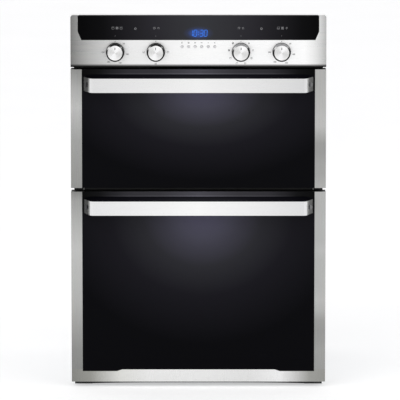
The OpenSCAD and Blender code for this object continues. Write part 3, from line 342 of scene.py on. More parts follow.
def vitreous_enamel():
    """Vitreous enamel, sprayed on steel and fired: a deep grey-blue glass skin with pale flecks a
    millimetre across and an orange-peel surface."""
    nodes = finish("vitreous_enamel", "#262b33", Roughness=0.22, IOR=1.5, Coat_Weight=0.6,
                   Coat_Roughness=0.06)
    flecks = nodes.add("TexVoronoi", {"Vector": nodes.place, "Scale": grit(4.5)})
    dots = nodes.ramp(flecks["Distance"], {0.14: "#5f666e", 0.24: "#262b33", 1.0: "#1f242b"})
    fired = nodes.mix(0.5, dots, nodes.noise(grit(45), 3.0)[0], "SOFT_LIGHT")
    nodes.feed(Base_Color=fired, Normal=nodes.bump(nodes.noise(grit(3), 1.0)[0], 0.15, 0.1))
    return nodes.owner


def worked_metal(name, colour, tint, size, roughness, metallic=1.0):
    """Drawn, plated or heat-darkened metal: its colour clouds towards a tint over the given
    millimetres, and handling dulls it in patches."""
    nodes = finish(name, colour, Metallic=metallic, Roughness=roughness)
    cloud = nodes.noise(grit(size), 5.0, Roughness=0.6)
    worn = nodes.spread(cloud[0], 0.3, 0.7, max(0.05, roughness - 0.08), roughness + 0.1)
    nodes.feed(Base_Color=nodes.ramp(cloud[0], {0.36: colour, 0.66: tint}), Roughness=worn)
    return nodes.owner


def mineral_wool():
    """Needled mineral wool: matted fibres, drawn 2 mm thick so that they show, in a loose felt."""
    nodes = finish("mineral_wool", "#b8ab88", Roughness=0.95)
    laid = nodes.mapped(Scale=(grit(2), grit(2), grit(9)))
    fibre = nodes.noise(1.0, 6.0, laid, Distortion=1.5)
    nodes.feed(Base_Color=nodes.ramp(fibre[0], {0.3: "#8f8465", 0.7: "#cdc3a3"}),
               Normal=nodes.bump(fibre[0], 0.8, 1.0))
    return nodes.owner


def solder_mask():
    """Glass-fibre circuit board under green solder mask, with copper tracks 1.2 mm wide."""
    nodes = finish("solder_mask", "#1d5a34", Roughness=0.35)
    tracks = nodes.add("TexBrick", {
        "Vector": nodes.mapped(Rotation=(math.radians(90), 0, 0)), "Color1": "#1d5a34",
        "Color2": "#216b3c", "Mortar": "#4f8f55", "Scale": 1.0,
        "Mortar Size": 0.6 * MM, "Brick Width": 14 * MM, "Row Height": 3.5 * MM})
    nodes.feed(Base_Color=tracks[0])
    return nodes.owner


def screen_ink(name, colour, glow=0.0):
    """Screen-printed enamel ink: an even film, a little matt and thin at its edges. A lit mark
    shines with its own colour."""
    nodes = finish(name, colour, Roughness=0.5)
    mesh = nodes.noise(grit(0.7), 2.0)
    film = nodes.mix(mesh[0], colour, "#8c8c8c", "SOFT_LIGHT")
    nodes.feed(Base_Color=film)
    if glow:
        nodes.feed(Emission_Strength=glow, Emission_Color=film)
    return nodes.owner


# ---- Modelling ----

def alone(piece):
    """Deselects everything, then selects one piece and makes it active."""
    bpy.ops.object.select_all(action="DESELECT")
    piece.select_set(True)
    bpy.context.view_layer.objects.active = piece
    return piece


def started(add, **settings):
    """Deselects everything and adds a new object."""
    bpy.ops.object.select_all(action="DESELECT")
    add(**settings)
    return bpy.context.active_object


def opened():
    """Puts the active piece in edit mode, with all of it selected."""
    bpy.ops.object.mode_set(mode="EDIT")
    bpy.ops.mesh.select_all(action="SELECT")


def closed():
    """Ends the edit."""
    bpy.ops.object.mode_set(mode="OBJECT")


def applied(piece):
    """Applies a piece's place, turn and scale."""
    alone(piece)
    bpy.ops.object.transform_apply(location=True, rotation=True, scale=True)
    return piece


def modified(piece, kind, **settings):
    """Adds a modifier to the active piece and applies it."""
    bpy.ops.object.modifier_add(type=kind)
    modifier = given(piece.modifiers[-1], **settings)
    bpy.ops.object.modifier_apply(modifier=modifier.name)


def settled(piece, name, metal, body):
    """Applies a piece's place, then gives it its name, finish and body."""
    applied(piece)
    piece.name = piece.data.name = name
    piece.data.materials.clear()
    piece.data.materials.append(metal)
    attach(piece, body)
    return piece


def rounded(piece, width, segments=2):
    """Eases a piece's sharp edges with a bevel, and smooths the rest."""
    alone(piece)
    modified(piece, "BEVEL", width=width, segments=segments, limit_method="ANGLE",
             angle_limit=math.radians(30))
    bpy.ops.object.shade_smooth_by_angle(angle=math.radians(35))
    modified(piece, "WEIGHTED_NORMAL", keep_sharp=True)
    return piece


def eased(node, width, metal, segments=2):
    """A copy of a node with its seams merged and its edges eased, which stands for the node."""
    source = frame["nodes"][node]
    body = source["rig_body"]
    alone(source)
    bpy.ops.object.duplicate()
    piece = bpy.context.active_object
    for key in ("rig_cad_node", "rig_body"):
        del piece[key]
    bpy.ops.object.parent_clear(type="CLEAR_KEEP_TRANSFORM")
    bpy.ops.mesh.customdata_custom_splitnormals_clear()
    opened()
    bpy.ops.mesh.remove_doubles(threshold=0.01 * MM)
    bpy.ops.mesh.dissolve_limited(angle_limit=math.radians(0.5))
    closed()
    rounded(piece, width, segments)
    settled(piece, f"{node}_eased", metal, body)
    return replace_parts(piece, node)


def picked(piece, wanted):
    """Puts a piece in edit mode with the wanted faces selected."""
    alone(piece)
    bpy.ops.object.mode_set(mode="EDIT")
    bpy.ops.mesh.select_mode(type="FACE")
    bpy.ops.mesh.select_all(action="DESELECT")
    closed()
    for face in piece.data.polygons:
        face.select = wanted(face.normal)
    bpy.ops.object.mode_set(mode="EDIT")


def stepped(piece, way, inset, rise):
    """Insets the faces that look one way, and moves what is inside along it."""
    way = Vector(way)
    picked(piece, lambda normal: normal.dot(way) > 0.9)
    bpy.ops.mesh.inset(thickness=inset)
    bpy.ops.transform.translate(value=way * rise)
    closed()
    return piece


def joined(made):
    """Joins pieces into the first one."""
    alone(made[0])
    for piece in made[1:]:
        piece.select_set(True)
    bpy.ops.object.join()
    return made[0]


def screw_head(r):
    """A sheet screw's hexagon head, dished on top, with its pressed washer, upright at the origin."""
    cylinder = bpy.ops.mesh.primitive_cylinder_add
    washer = started(cylinder, vertices=24, radius=r, depth=0.8 * MM, location=(0, 0, 0.4 * MM))
    stepped(washer, (0, 0, 1), 0.2 * r, 0.3 * MM)
    head = started(cylinder, vertices=6, radius=0.68 * r, depth=2.4 * MM,
                   location=(0, 0, 1.2 * MM))
    stepped(head, (0, 0, 1), 0.16 * r, -0.5 * MM)
    return rounded(joined([washer, head]), 0.12 * MM, 1)


def screwed(name, metal, spots, body="housing", r=5.2 * MM):
    """Sheet screws, as one piece. Each spot is a place in millimetres and the way the head looks."""
    first = screw_head(r)
    made = []
    for place, way in spots:
        alone(first)
        bpy.ops.object.duplicate()
        copy = bpy.context.active_object
        copy.rotation_euler = Vector(way).to_track_quat("Z", "Y").to_euler()
        copy.location = Vector(place) * MM
        made.append(applied(copy))
    alone(first)
    bpy.ops.object.delete()
    return settled(joined(made), name, metal, body)


def ring_plate(name, metal, centre, way, size, corner, band, thick, body, slot, ease=0.0):
    """A flat ring with round corners that lies on an upright face. Lengths are in millimetres."""
    turn = math.atan2(way[1], way[0]) + math.radians(90)
    piece = started(bpy.ops.mesh.primitive_plane_add, size=1, location=Vector(centre) * MM,
                    rotation=(math.radians(90), 0, turn))
    piece.scale = (size[0] * MM, size[1] * MM, 1)
    applied(piece)
    opened()
    bpy.ops.mesh.bevel(offset=corner * MM, segments=7, affect="VERTICES")
    bpy.ops.mesh.select_mode(type="FACE")
    bpy.ops.mesh.select_all(action="SELECT")
    bpy.ops.mesh.inset(thickness=band * MM)
    bpy.ops.mesh.delete(type="FACE")
    closed()
    modified(piece, "SOLIDIFY", thickness=thick * MM, offset=1.0)
    if ease:
        rounded(piece, ease * MM)
    return settled(piece, name, metal, body)


# How far a printed line stands out, as a share of half its width
PRINT_RISE = 0.12


def drawn(name, lines, width, face, ink, body="housing"):
    """Printed lines on an upright face. Each line is a run of (x, z) points in millimetres."""
    curve = given(bpy.data.curves.new(name, "CURVE"), dimensions="3D",
                  bevel_depth=width * MM / 2, bevel_resolution=1, use_fill_caps=True)
    for line in lines:
        spline = curve.splines.new("POLY")
        spline.points.add(len(line) - 1)
        for point, (x, z) in zip(spline.points, line):
            point.co = (x * MM, face, z * MM, 1)
    piece = bpy.data.objects.new(name, curve)
    bpy.context.scene.collection.objects.link(piece)
    alone(piece)
    bpy.ops.object.convert(target="MESH")
    opened()
    bpy.ops.transform.resize(value=(1, PRINT_RISE, 1), center_override=(0, face, 0))
    bpy.ops.mesh.normals_make_consistent(inside=False)
    closed()
    return settled(bpy.context.active_object, name, ink, body)


def lettered(name, words, size, face, ink):
    """Plain dial numbers on an upright face, as one piece. Each is (text, x, z) in millimetres."""
    made = []
    for text, x, z in words:
        piece = started(bpy.ops.object.text_add, location=(x * MM, face, z * MM),
                        rotation=(math.radians(90), 0, 0))
        given(piece.data, body=text, size=size * MM, align_x="CENTER", align_y="CENTER",
              extrude=0.03 * MM, offset=0.09 * MM, resolution_u=3)
        bpy.ops.object.convert(target="MESH")
        made.append(bpy.context.active_object)
    return settled(joined(made), name, ink, "housing")


def arc(x, z, r, start=0, end=360, steps=16):
    """Points along an arc, in degrees from the top, clockwise."""
    turns = [math.radians(start + (end - start) * i / steps) for i in range(steps + 1)]
    return [(x + r * math.sin(t), z + r * math.cos(t)) for t in turns]


# Which strokes of a seven-stroke figure each digit of the time lights
FIGURES = {"0": "abcdef", "1": "bc", "3": "abgcd"}
# How far a figure leans to the right, as a share of its height
LEAN = 0.09
# The time that the clock shows, and how far left of the display's middle, in millimetres
CLOCK_TIME = "1030"
CLOCK_ASIDE = 3.0


def figure(digit, x, z, w, h):
    """A leaning seven-stroke digit centred at x, z, each stroke with a gap at its ends."""
    gap = 0.55
    tl, tr, ml, mr, bl, br = [(px, pz) for pz in (h / 2, 0, -h / 2) for px in (-w / 2, w / 2)]
    ends = dict(a=(tl, tr), b=(tr, mr), c=(mr, br), d=(bl, br), e=(ml, bl), f=(tl, ml), g=(ml, mr))
    lines = []
    for key in FIGURES[digit]:
        (x0, z0), (x1, z1) = ends[key]
        run = math.hypot(x1 - x0, z1 - z0)
        dx, dz = (x1 - x0) / run * gap, (z1 - z0) / run * gap
        lines.append([(x + px + LEAN * pz, z + pz)
                      for px, pz in ((x0 + dx, z0 + dz), (x1 - dx, z1 - dz))])
    return lines


def level(z, half):
    """A level line."""
    return [(-half, z), (half, z)]


# Plain oven signs, each as runs of points in a square from -1 to 1
SQUARE = [(-1, -1), (1, -1), (1, 1), (-1, 1), (-1, -1)]
SIGNS = {
    "top heat": [SQUARE, level(0.55, 0.55)],
    "base heat": [SQUARE, level(-0.55, 0.55)],
    "both heats": [SQUARE, level(0.55, 0.55), level(-0.55, 0.55)],
    "grill": [SQUARE, [(-0.6, 0.6), (-0.3, 0.2), (0, 0.6), (0.3, 0.2), (0.6, 0.6)]],
    "fan": [SQUARE, arc(0, 0, 0.62), [(-0.4, -0.4), (0.4, 0.4)], [(-0.4, 0.4), (0.4, -0.4)]],
    "lamp": [arc(0, 0.25, 0.6, -145, 145),
             [(-0.34, -0.24), (-0.34, -0.7), (0.34, -0.7), (0.34, -0.24)], level(-1, 0.2)],
    "fan grill": [SQUARE, [(-0.6, 0.75), (-0.3, 0.4), (0, 0.75), (0.3, 0.4), (0.6, 0.75)],
                  arc(0, -0.25, 0.5), [(-0.3, -0.55), (0.3, 0.05)], [(-0.3, 0.05), (0.3, -0.55)]],
    "flake": [[(0, -1), (0, 1)], [(-0.87, -0.5), (0.87, 0.5)], [(-0.87, 0.5), (0.87, -0.5)]],
    "clock": [arc(0, 0, 0.95), [(0, 0.55), (0, 0), (0.45, -0.2)]],
    "bell": [[(-0.9, -0.5), (0.9, -0.5), (0.6, -0.1), (0.5, 0.5), (0, 0.95), (-0.5, 0.5),
              (-0.6, -0.1), (-0.9, -0.5)], level(-0.85, 0.15)],
    "pot": [[(-0.7, 0.35), (-0.7, -0.75), (0.7, -0.75), (0.7, 0.35), (-0.7, 0.35)],
            [(-1, 0.15), (-0.7, 0.15)], [(0.7, 0.15), (1, 0.15)], level(0.75, 0.2)],
    "key": [arc(-0.5, 0, 0.42), [(-0.08, 0), (1, 0), (1, -0.45)], [(0.6, 0), (0.6, -0.35)]],
    "minus": [level(0, 0.8)],
    "plus": [level(0, 0.8), [(0, -0.8), (0, 0.8)]],
}


def sign(name, x, z, half):
    """A sign's lines, centred at x, z, with its half width."""
    return [[(x + half * px, z + half * pz) for px, pz in line] for line in SIGNS[name]]


# ---- Sizes and colours that a user would change ----

def number(name, description, default, low, high, **settings):
    """A number that a user can set."""
    return FloatProperty(name=name, description=description, default=default, min=low, max=high,
                         **settings)


def bevel(name, description, default, low, high):
    """The width of a bevel, given in millimetres."""
    return number(name, description, default * MM, low * MM, high * MM, unit="LENGTH")


def paint(name, description, code):
    """A colour that a user can set."""
    return FloatVectorProperty(name=name, description=description, default=tone(code), size=4,
                               min=0, max=1, subtype="COLOR")


class OvenSizes(bpy.types.PropertyGroup):
    """Sizes of the fine pieces and of the eased edges"""
    handle_edge: bevel("Handle Edge", "Bevel along the handles' edges", 0.9, 0.1, 3)
    sheet_edge: bevel("Sheet Edge", "Bevel along the steel sheet's edges", 0.35, 0.05, 1)
    glass_edge: bevel("Glass Edge", "Ground bevel along the glass", 0.5, 0.1, 1)
    knob_edge: bevel("Knob Edge", "Bevel along the knobs' edges", 0.5, 0.1, 1)
    button_edge: bevel("Button Edge", "Bevel along the buttons' edges", 0.3, 0.1, 1)
    cap_edge: bevel("Cap Edge", "Bevel along the doors' top caps", 0.4, 0.1, 1)
    terminal_edge: bevel("Terminal Box Edge", "Bevel along the terminal box", 0.8, 0.1, 2)
    mark_line: number("Mark Line", "Width of a printed line, in millimetres", 0.55, 0.1, 1.0)
    digit_height: number("Digit Height", "Height of a clock digit, in millimetres", 14.5, 8, 20)
    number_size: number("Number Size", "Height of the dial numbers, in millimetres", 4.6, 2, 6)


class OvenColours(bpy.types.PropertyGroup):
    """Colours of the prints, the display and the plastics"""
    ink_on_steel: paint("Ink on Steel", "Marks on the steel", "#2e2f33")
    ink_on_glass: paint("Ink on Glass", "Marks on the black glass", "#b4b4b6")
    display: paint("Display", "Colour of the lit digits", "#2468c6")
    plastic: paint("Plastic", "Colour of the black mouldings", "#161617")


class OvenStage(bpy.types.PropertyGroup):
    """The camera and the light"""
    distance: number("Camera Distance", "From the camera to the doors", 10.0, 2, 60,
                     unit="LENGTH")
    tilt: number("Camera Tilt", "How far the camera looks down", math.radians(7.65), 0,
                 math.radians(45), subtype="ANGLE")
    lens: number("Lens", "Focal length on a 36 mm sensor", 385.3, 35, 1500,
                 subtype="DISTANCE_CAMERA")
    sky: number("Ambient Light", "How strongly the room lights the oven", 0.6, 0, 1,
                subtype="FACTOR")
    key: number("Key Lamp", "Power of the large soft lamp on the left", 62.0, 0, 500,
                unit="POWER")
    fill: number("Fill Lamp", "Power of the soft lamp on the right", 35.0, 0, 500, unit="POWER")


def sizes():
    return bpy.context.scene.oven_sizes


def colours():
    return bpy.context.scene.oven_colours


def stock(name):
    """A finish that an earlier piece has made."""
    return bpy.data.materials[name]


# ---- The oven's pieces ----

class DOUBLEOVEN_OT_stage(bpy.types.Operator):
    """Builds the pale floor, the soft lamps and the camera"""
    bl_idname = "double_oven.stage"
    bl_label = "Stage"

    def execute(self, context):
        settings = context.scene.oven_stage
        context.scene.view_settings.view_transform = "Standard"
        self.camera(context, settings)
        self.room(context, settings)
        self.floor()
        self.lamp("key_lamp", (-2.6, -4.2, 3.4), 4.5, settings.key)
        self.lamp("fill_lamp", (3.4, -3.6, 2.6), 4.0, settings.fill)
        return {"FINISHED"}

    def camera(self, context, settings):
        """The camera looks at the middle of the front."""
        aim = Vector((3.7 * MM, STEEL_FACE, 442.4 * MM))
        lift = Vector((0, -math.cos(settings.tilt), math.sin(settings.tilt)))
        camera = started(bpy.ops.object.camera_add, location=aim + lift * settings.distance,
                         rotation=(math.radians(90) - settings.tilt, 0, 0))
        camera.name = "camera"
        given(camera.data, lens=settings.lens, sensor_width=36.0, clip_end=100.0)
        context.scene.camera = camera

    def seen(self, nodes):
        """How much a ray is one that shows the background: from the camera, a gloss or a glass."""
        path = nodes.add("LightPath")
        gloss = nodes.math("MAXIMUM", path["Is Camera Ray"], path["Is Glossy Ray"])
        return nodes.math("MAXIMUM", gloss, path["Is Transmission Ray"])

    def room(self, context, settings):
        """White where it shows, and dimmer where it only lights the oven."""
        world = bpy.data.worlds.new("studio")
        world.use_nodes = True
        context.scene.world = world
        nodes = Nodes(world)
        dim = nodes.add("Background", {"Color": "#fdfdff", "Strength": settings.sky})
        white = nodes.add("Background", {"Color": "#ffffff", "Strength": 1.0})
        both = nodes.add("MixShader", {0: self.seen(nodes), 1: dim[0], 2: white[0]})
        nodes.put(nodes.tree.nodes["World Output"], "Surface", both[0])

    def floor(self):
        """A sheet of paper: a plane given its thickness, lifted to near white where it shows."""
        sweep = started(bpy.ops.mesh.primitive_plane_add, size=70, location=(0, 0, 0))
        opened()
        bpy.ops.mesh.extrude_region_move(TRANSFORM_OT_translate={"value": (0, 0, -2 * MM)})
        bpy.ops.mesh.select_all(action="SELECT")
        bpy.ops.mesh.normals_make_consistent(inside=False)
        closed()
        nodes = finish("matt_paper", "#ececec", Roughness=0.9)
        pulp = nodes.noise(3.0, 3.0)
        nodes.feed(Base_Color=nodes.ramp(pulp[0], {0.3: "#eaeaea", 0.7: "#eeeeee"}))
        glow = nodes.add("Emission", {"Color": "#ffffff", "Strength": 0.45})
        none = nodes.add("Emission", {"Strength": 0.0})
        lit = nodes.add("MixShader", {0: self.seen(nodes), 1: none[0], 2: glow[0]})
        both = nodes.add("AddShader", {0: nodes.shader.outputs[0], 1: lit[0]})
        nodes.put(nodes.tree.nodes["Material Output"], "Surface", both[0])
        sweep.data.materials.append(nodes.owner)
        sweep.name = "paper_floor"

    def lamp(self, name, at, size, power):
        """A square soft lamp that looks at the oven."""
        aim = Vector((0, 0, 0.45)) - Vector(at)
        lamp = started(bpy.ops.object.light_add, type="AREA", location=at,
                       rotation=aim.to_track_quat("-Z", "Y").to_euler())
        lamp.name = name
        given(lamp.data, shape="SQUARE", size=size, energy=power)


class DOUBLEOVEN_OT_finishes(bpy.types.Operator):
    """Gives every carried-over node its material"""
    bl_idname = "double_oven.finishes"
    bl_label = "Finishes"

    def execute(self, context):
        """A star in a name stands for upper and for lower."""
        table = [
            (galvanised(), ("side_panel_left", "side_panel_right", "back_panel", "base_pan",
                            "top_cover", "cooling_housing", "*_door_pan")),
            (vitreous_enamel(), ("*_cavity", "fan_cover", "baking_tray")),
            (float_pane(), ("*_door_panes",)),
            (moulded("moulded_abs", colours().plastic),
             ("terminal_box", "fascia_carrier", "knob_bezels", "display_module", "cooling_rotor")),
            (worked_metal("chromed_wire", "#d9dadb", "#b3b5b8", 9, 0.14),
             ("*_guide_wires", "*_shelf")),
            (worked_metal("zinc_plated_steel", "#b7b4a6", "#8f8d86", 11, 0.34),
             ("hinge_receivers", "*_door_hinges", "fan_motor")),
            (worked_metal("sheathed_element", "#4a4340", "#6b5a4e", 16, 0.45, 0.8),
             ("*_grill", "fan_ring_element")),
            (moulded("moulded_nylon_cap", "#0a0a0b", 0.9, 0.6, 0.05, Specular_IOR_Level=0.15),
             ("*_door_cap",)),
            (moulded("powder_coated_steel", "#101011", 1.2, 0.38, 0.08), ("front_frame",)),
            (moulded("silicone_seal", "#2c2d2f", 1.5, 0.55), ("door_seals",)),
            (moulded("silicone_buffer", "#e6e6e2", 0.6, 0.5), ("door_buffers",)),
            (moulded("phenolic_moulding", "#b9ae92", 1.0, 0.5), ("control_switches",)),
            (moulded("acrylic_light_pipe", "#dfe6ea", 2.0, 0.12, 0.01, Transmission_Weight=0.7),
             ("indicator_pipes",)),
            (moulded("borosilicate_lamp_glass", "#e9edf0", 5.0, 0.14, 0.15,
                     Transmission_Weight=0.6), ("oven_lamps",)),
            (worked_metal("pressed_stainless", "#c6c6c4", "#a4a4a2", 8, 0.3),
             ("convection_fan",)),
            (mineral_wool(), ("insulation",)),
            (solder_mask(), ("control_board",)),
        ]
        for metal, nodes in table:
            for node in [name.replace("*", door) for name in nodes for door in DOORS]:
                for slot in frame["nodes"][node].material_slots:
                    slot.material = metal
        return {"FINISHED"}


class DOUBLEOVEN_OT_fascia(bpy.types.Operator):
    """Makes the control panel's steel trim and its black glass insert"""
    bl_idname = "double_oven.fascia"
    bl_label = "Control Panel"

    def execute(self, context):
        low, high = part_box("fascia")
        # Painted sheen: dull at both ends, darkest at the left, and brightest over the middle and
        # right.
        steel = brushed_sheet("brushed_fascia_steel", 0, 0, (low.x, high.x), {
            0.0: "#767671", 0.012: "#82827e", 0.075: "#acaca8", 0.23: "#e2e2e1", 0.5: "#f1f1f0",
            0.915: "#f4f4f3", 0.945: "#e6e6e4", 0.962: "#dadad8", 0.98: "#c8c8c6", 1.0: "#aeaeac"})
        # Painted shade: the lowest 9 mm of the panel darken towards the lip's lower edge.
        painted_shade(steel, 2, (low.z, low.z + 9 * MM), {
            0.0: "#2c2c2c", 0.17: "#343434", 0.43: "#6a6a6a", 0.69: "#cacaca", 0.93: "#ffffff"})
        eased("fascia", sizes().sheet_edge, steel)
        halo = {0.0: "#1b489c", 0.4: "#163a80", 0.7: "#0b1836", 1.0: "#000000"}
        clock = DISPLAY - Vector((CLOCK_ASIDE * MM, 0, 0))
        # Painted reflection: the black glass is lighter in the middle and darkens towards its ends.
        glass = toughened_glass("printed_insert_glass", DISPLAY.z, (0.3, 1.0), 1.0, {
            0.0: "#3b3c40", 0.2: "#36363a", 0.38: "#2e2d32", 0.5: "#262529", 0.77: "#0c0c0e",
            0.93: "#030304"}, glow=(clock, (0.036, 1, 0.017), halo))
        eased("fascia_glass", sizes().glass_edge, glass)
        return {"FINISHED"}


# Each door's painted sheen from its lower edge up, on its left strip and on its right strip
LEFT_PAINTED_SHEEN = {
    "upper": {0.0: "#898a85", 0.06: "#8d8e89", 0.4: "#999a95", 0.68: "#b3b4af", 0.86: "#a2a39e",
              1.0: "#878883"},
    "lower": {0.0: "#82837e", 0.165: "#898a85", 0.427: "#a8a9a4", 0.7: "#b5b6b1", 0.95: "#9a9b96",
              1.0: "#80817c"},
}
RIGHT_PAINTED_SHEEN = {
    "upper": {0.0: "#a5a6a1", 0.12: "#9b9c97", 0.2: "#9b9c97", 0.3: "#939490", 0.38: "#949590",
              0.44: "#a1a29d", 0.52: "#b1b2ad", 0.61: "#b1b2ad", 0.69: "#adaea9", 1.0: "#a8a9a4"},
    "lower": {0.0: "#969792", 0.168: "#999a95", 0.22: "#939490", 0.272: "#91928d", 0.325: "#969792",
              0.377: "#a8a9a4", 0.43: "#b0b1ac", 0.5: "#abaca7", 0.64: "#aaaba6", 0.69: "#b0b1ac",
              0.75: "#aaaba6"},
}
# How far the glass's painted reflection reaches down, as a share of the glass below the handle
REFLECTION_FALL = {"upper": 0.92, "lower": 0.78}
# The height up to which the lower door's sheet is its bottom strip
STRIP_TOP = 41.5 * MM
# How far below the glass's upper edge its lighter band of painted reflection starts
REFLECTION_BAND_DROP = 11.6 * MM
# How far the glass's painted reflection reaches to the sides and upwards, in metres
REFLECTION_SIDE, REFLECTION_UP = 0.34, 0.06


class DOUBLEOVEN_OT_doors(bpy.types.Operator):
    """Makes each door's steel trim, outer glass and top cap"""
    bl_idname = "double_oven.doors"
    bl_label = "Doors"

    def execute(self, context):
        for door in DOORS:
            low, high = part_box(f"{door}_door_frame")
            steel = brushed_sheet(f"brushed_{door}_door_steel", 2, 2, (low.z, high.z),
                                  LEFT_PAINTED_SHEEN[door], right=RIGHT_PAINTED_SHEEN[door])
            if door == "lower":
                self.bottom_strip(steel, low, high)
            eased(f"{door}_door_frame", sizes().sheet_edge, steel)
            eased(f"{door}_door_glass", sizes().glass_edge, self.glass(door))
            eased(f"{door}_door_cap", sizes().cap_edge, stock("moulded_nylon_cap"))
        return {"FINISHED"}

    def glass(self, door):
        """The door's glass, its painted reflection brightest at the handle's lower edge."""
        low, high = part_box(f"{door}_door_glass")
        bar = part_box(f"{door}_handle")[0].z
        # Painted reflection: grey-blue at the handle's lower edge, fading to near black; the band is
        # a lighter painted reflection below the upper edge.
        tint = {0.0: "#59576a", 0.09: "#575567", 0.18: "#504f5d", 0.27: "#44434e", 0.41: "#303035",
                0.63: "#1b1a20", 1.0: "#07070b"}
        band = {0.0: "#58575f", 0.3: "#434247", 0.55: "#3c3b40", 0.78: "#151517", 0.9: "#080809"}
        return toughened_glass(f"printed_{door}_door_glass", bar,
                               (REFLECTION_SIDE, (bar - low.z) * REFLECTION_FALL[door]), REFLECTION_UP, tint,
                               band=(high.z - REFLECTION_BAND_DROP, high.x, band))

    def bottom_strip(self, steel, low, high):
        """Below the glass the sheet is brushed across, and its painted sheen rolls from side to side.
        """
        nodes = Nodes(steel)
        parts = nodes.split()
        # Painted sheen across the bottom strip: dull at both ends, bright in the middle.
        painted_sheen = nodes.ramp(nodes.spread(parts[0], low.x, high.x), {
            0.0: "#848480", 0.075: "#959590", 0.192: "#dadad6", 0.31: "#e8e8e7", 0.5: "#e8e8e7",
            0.7: "#e0e0df", 0.82: "#ececec", 0.937: "#9c9c98", 1.0: "#93938f"})
        below = nodes.math("LESS_THAN", parts[2], STRIP_TOP)
        nodes.feed(Base_Color=nodes.mix(below, nodes.base(), painted_sheen))


class DOUBLEOVEN_OT_handles(bpy.types.Operator):
    """Makes the bar handles"""
    bl_idname = "double_oven.handles"
    bl_label = "Handles"

    def execute(self, context):
        low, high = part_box("upper_handle")
        steel = satin_bar("satin_stainless_bar", (low.x, high.x))
        for door in DOORS:
            eased(f"{door}_handle", sizes().handle_edge, steel, 3)
        return {"FINISHED"}


class DOUBLEOVEN_OT_knobs(bpy.types.Operator):
    """Makes the knobs, and the inlay in each knob's pointer groove"""
    bl_idname = "double_oven.knobs"
    bl_label = "Knobs"

    def execute(self, context):
        ink = screen_ink("pointer_inlay", "#26262a")
        for i, centre in enumerate(KNOBS, 1):
            # Painted reflection tones for the rim's crown and glancing edge: dark on the left two
            # knobs, lighter on the right two.
            painted_rim_tones = ("#1c1c1e", "#3a3a3c") if i < 3 else ("#98989a", "#bcbcbe")
            eased(f"knob_{i}", sizes().knob_edge, spun_metal(f"spun_chrome_{i}", centre, *painted_rim_tones))
            x, z = centre.x / MM, centre.z / MM
            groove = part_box(f"knob_{i}")[0].y + 0.35 * MM
            drawn(f"knob_{i}_pointer", [[(x, z + 6.8), (x, z + 12.4)]], 1.5, groove, ink,
                  f"knob_body_{i}")
        return {"FINISHED"}


class DOUBLEOVEN_OT_buttons(bpy.types.Operator):
    """Makes the push buttons"""
    bl_idname = "double_oven.buttons"
    bl_label = "Buttons"

    def execute(self, context):
        metal = worked_metal("turned_button_steel", "#e6e6e6", "#a9a9ac", 3, 0.25)
        for i in range(1, 7):
            eased(f"button_{i}", sizes().button_edge, metal)
        return {"FINISHED"}


class DOUBLEOVEN_OT_display(bpy.types.Operator):
    """Makes the clock's lit figures"""
    bl_idname = "double_oven.display"
    bl_label = "Clock Figures"

    def execute(self, context):
        x, z, h = DISPLAY.x / MM - CLOCK_ASIDE, DISPLAY.z / MM, sizes().digit_height
        w = h * 0.46
        step = w + 3.0
        lines = []
        for digit, place in zip(CLOCK_TIME, (-1.75, -0.75, 0.75, 1.75)):
            lines += figure(digit, x + place * step, z, w, h)
        for dot in (-h / 5, h / 5):
            lines += [arc(x + dot * LEAN, z + dot, 0.35, steps=8)]
        drawn("clock_figures", lines, 1.6, GLASS_FACE,
              screen_ink("lit_segment", colours().display, 0.9))
        return {"FINISHED"}


# Each dial's first mark and the step to the next, in degrees from the top, and what it shows
DIALS = {
    1: (90, 90, ("grill", "both heats", "base heat")),
    2: (41, 39.7, ("flake", "lamp", "both heats", "base heat", "top heat", "grill", "fan",
                   "fan grill")),
}
HEAT_DIAL = (45, 56, ("50", "100", "150", "200", "250"))
# How much wider a line is printed on the steel than on the glass
STEEL_PRINT = 1.25
# The signs on the glass over each knob, by the x of their middle, in millimetres
GLASS_SIGNS = {-189: ("top heat", "fan", "grill"), -97.5: ("clock", "pot"), 99: ("clock", "pot"),
               195.5: ("base heat", "fan", "lamp")}


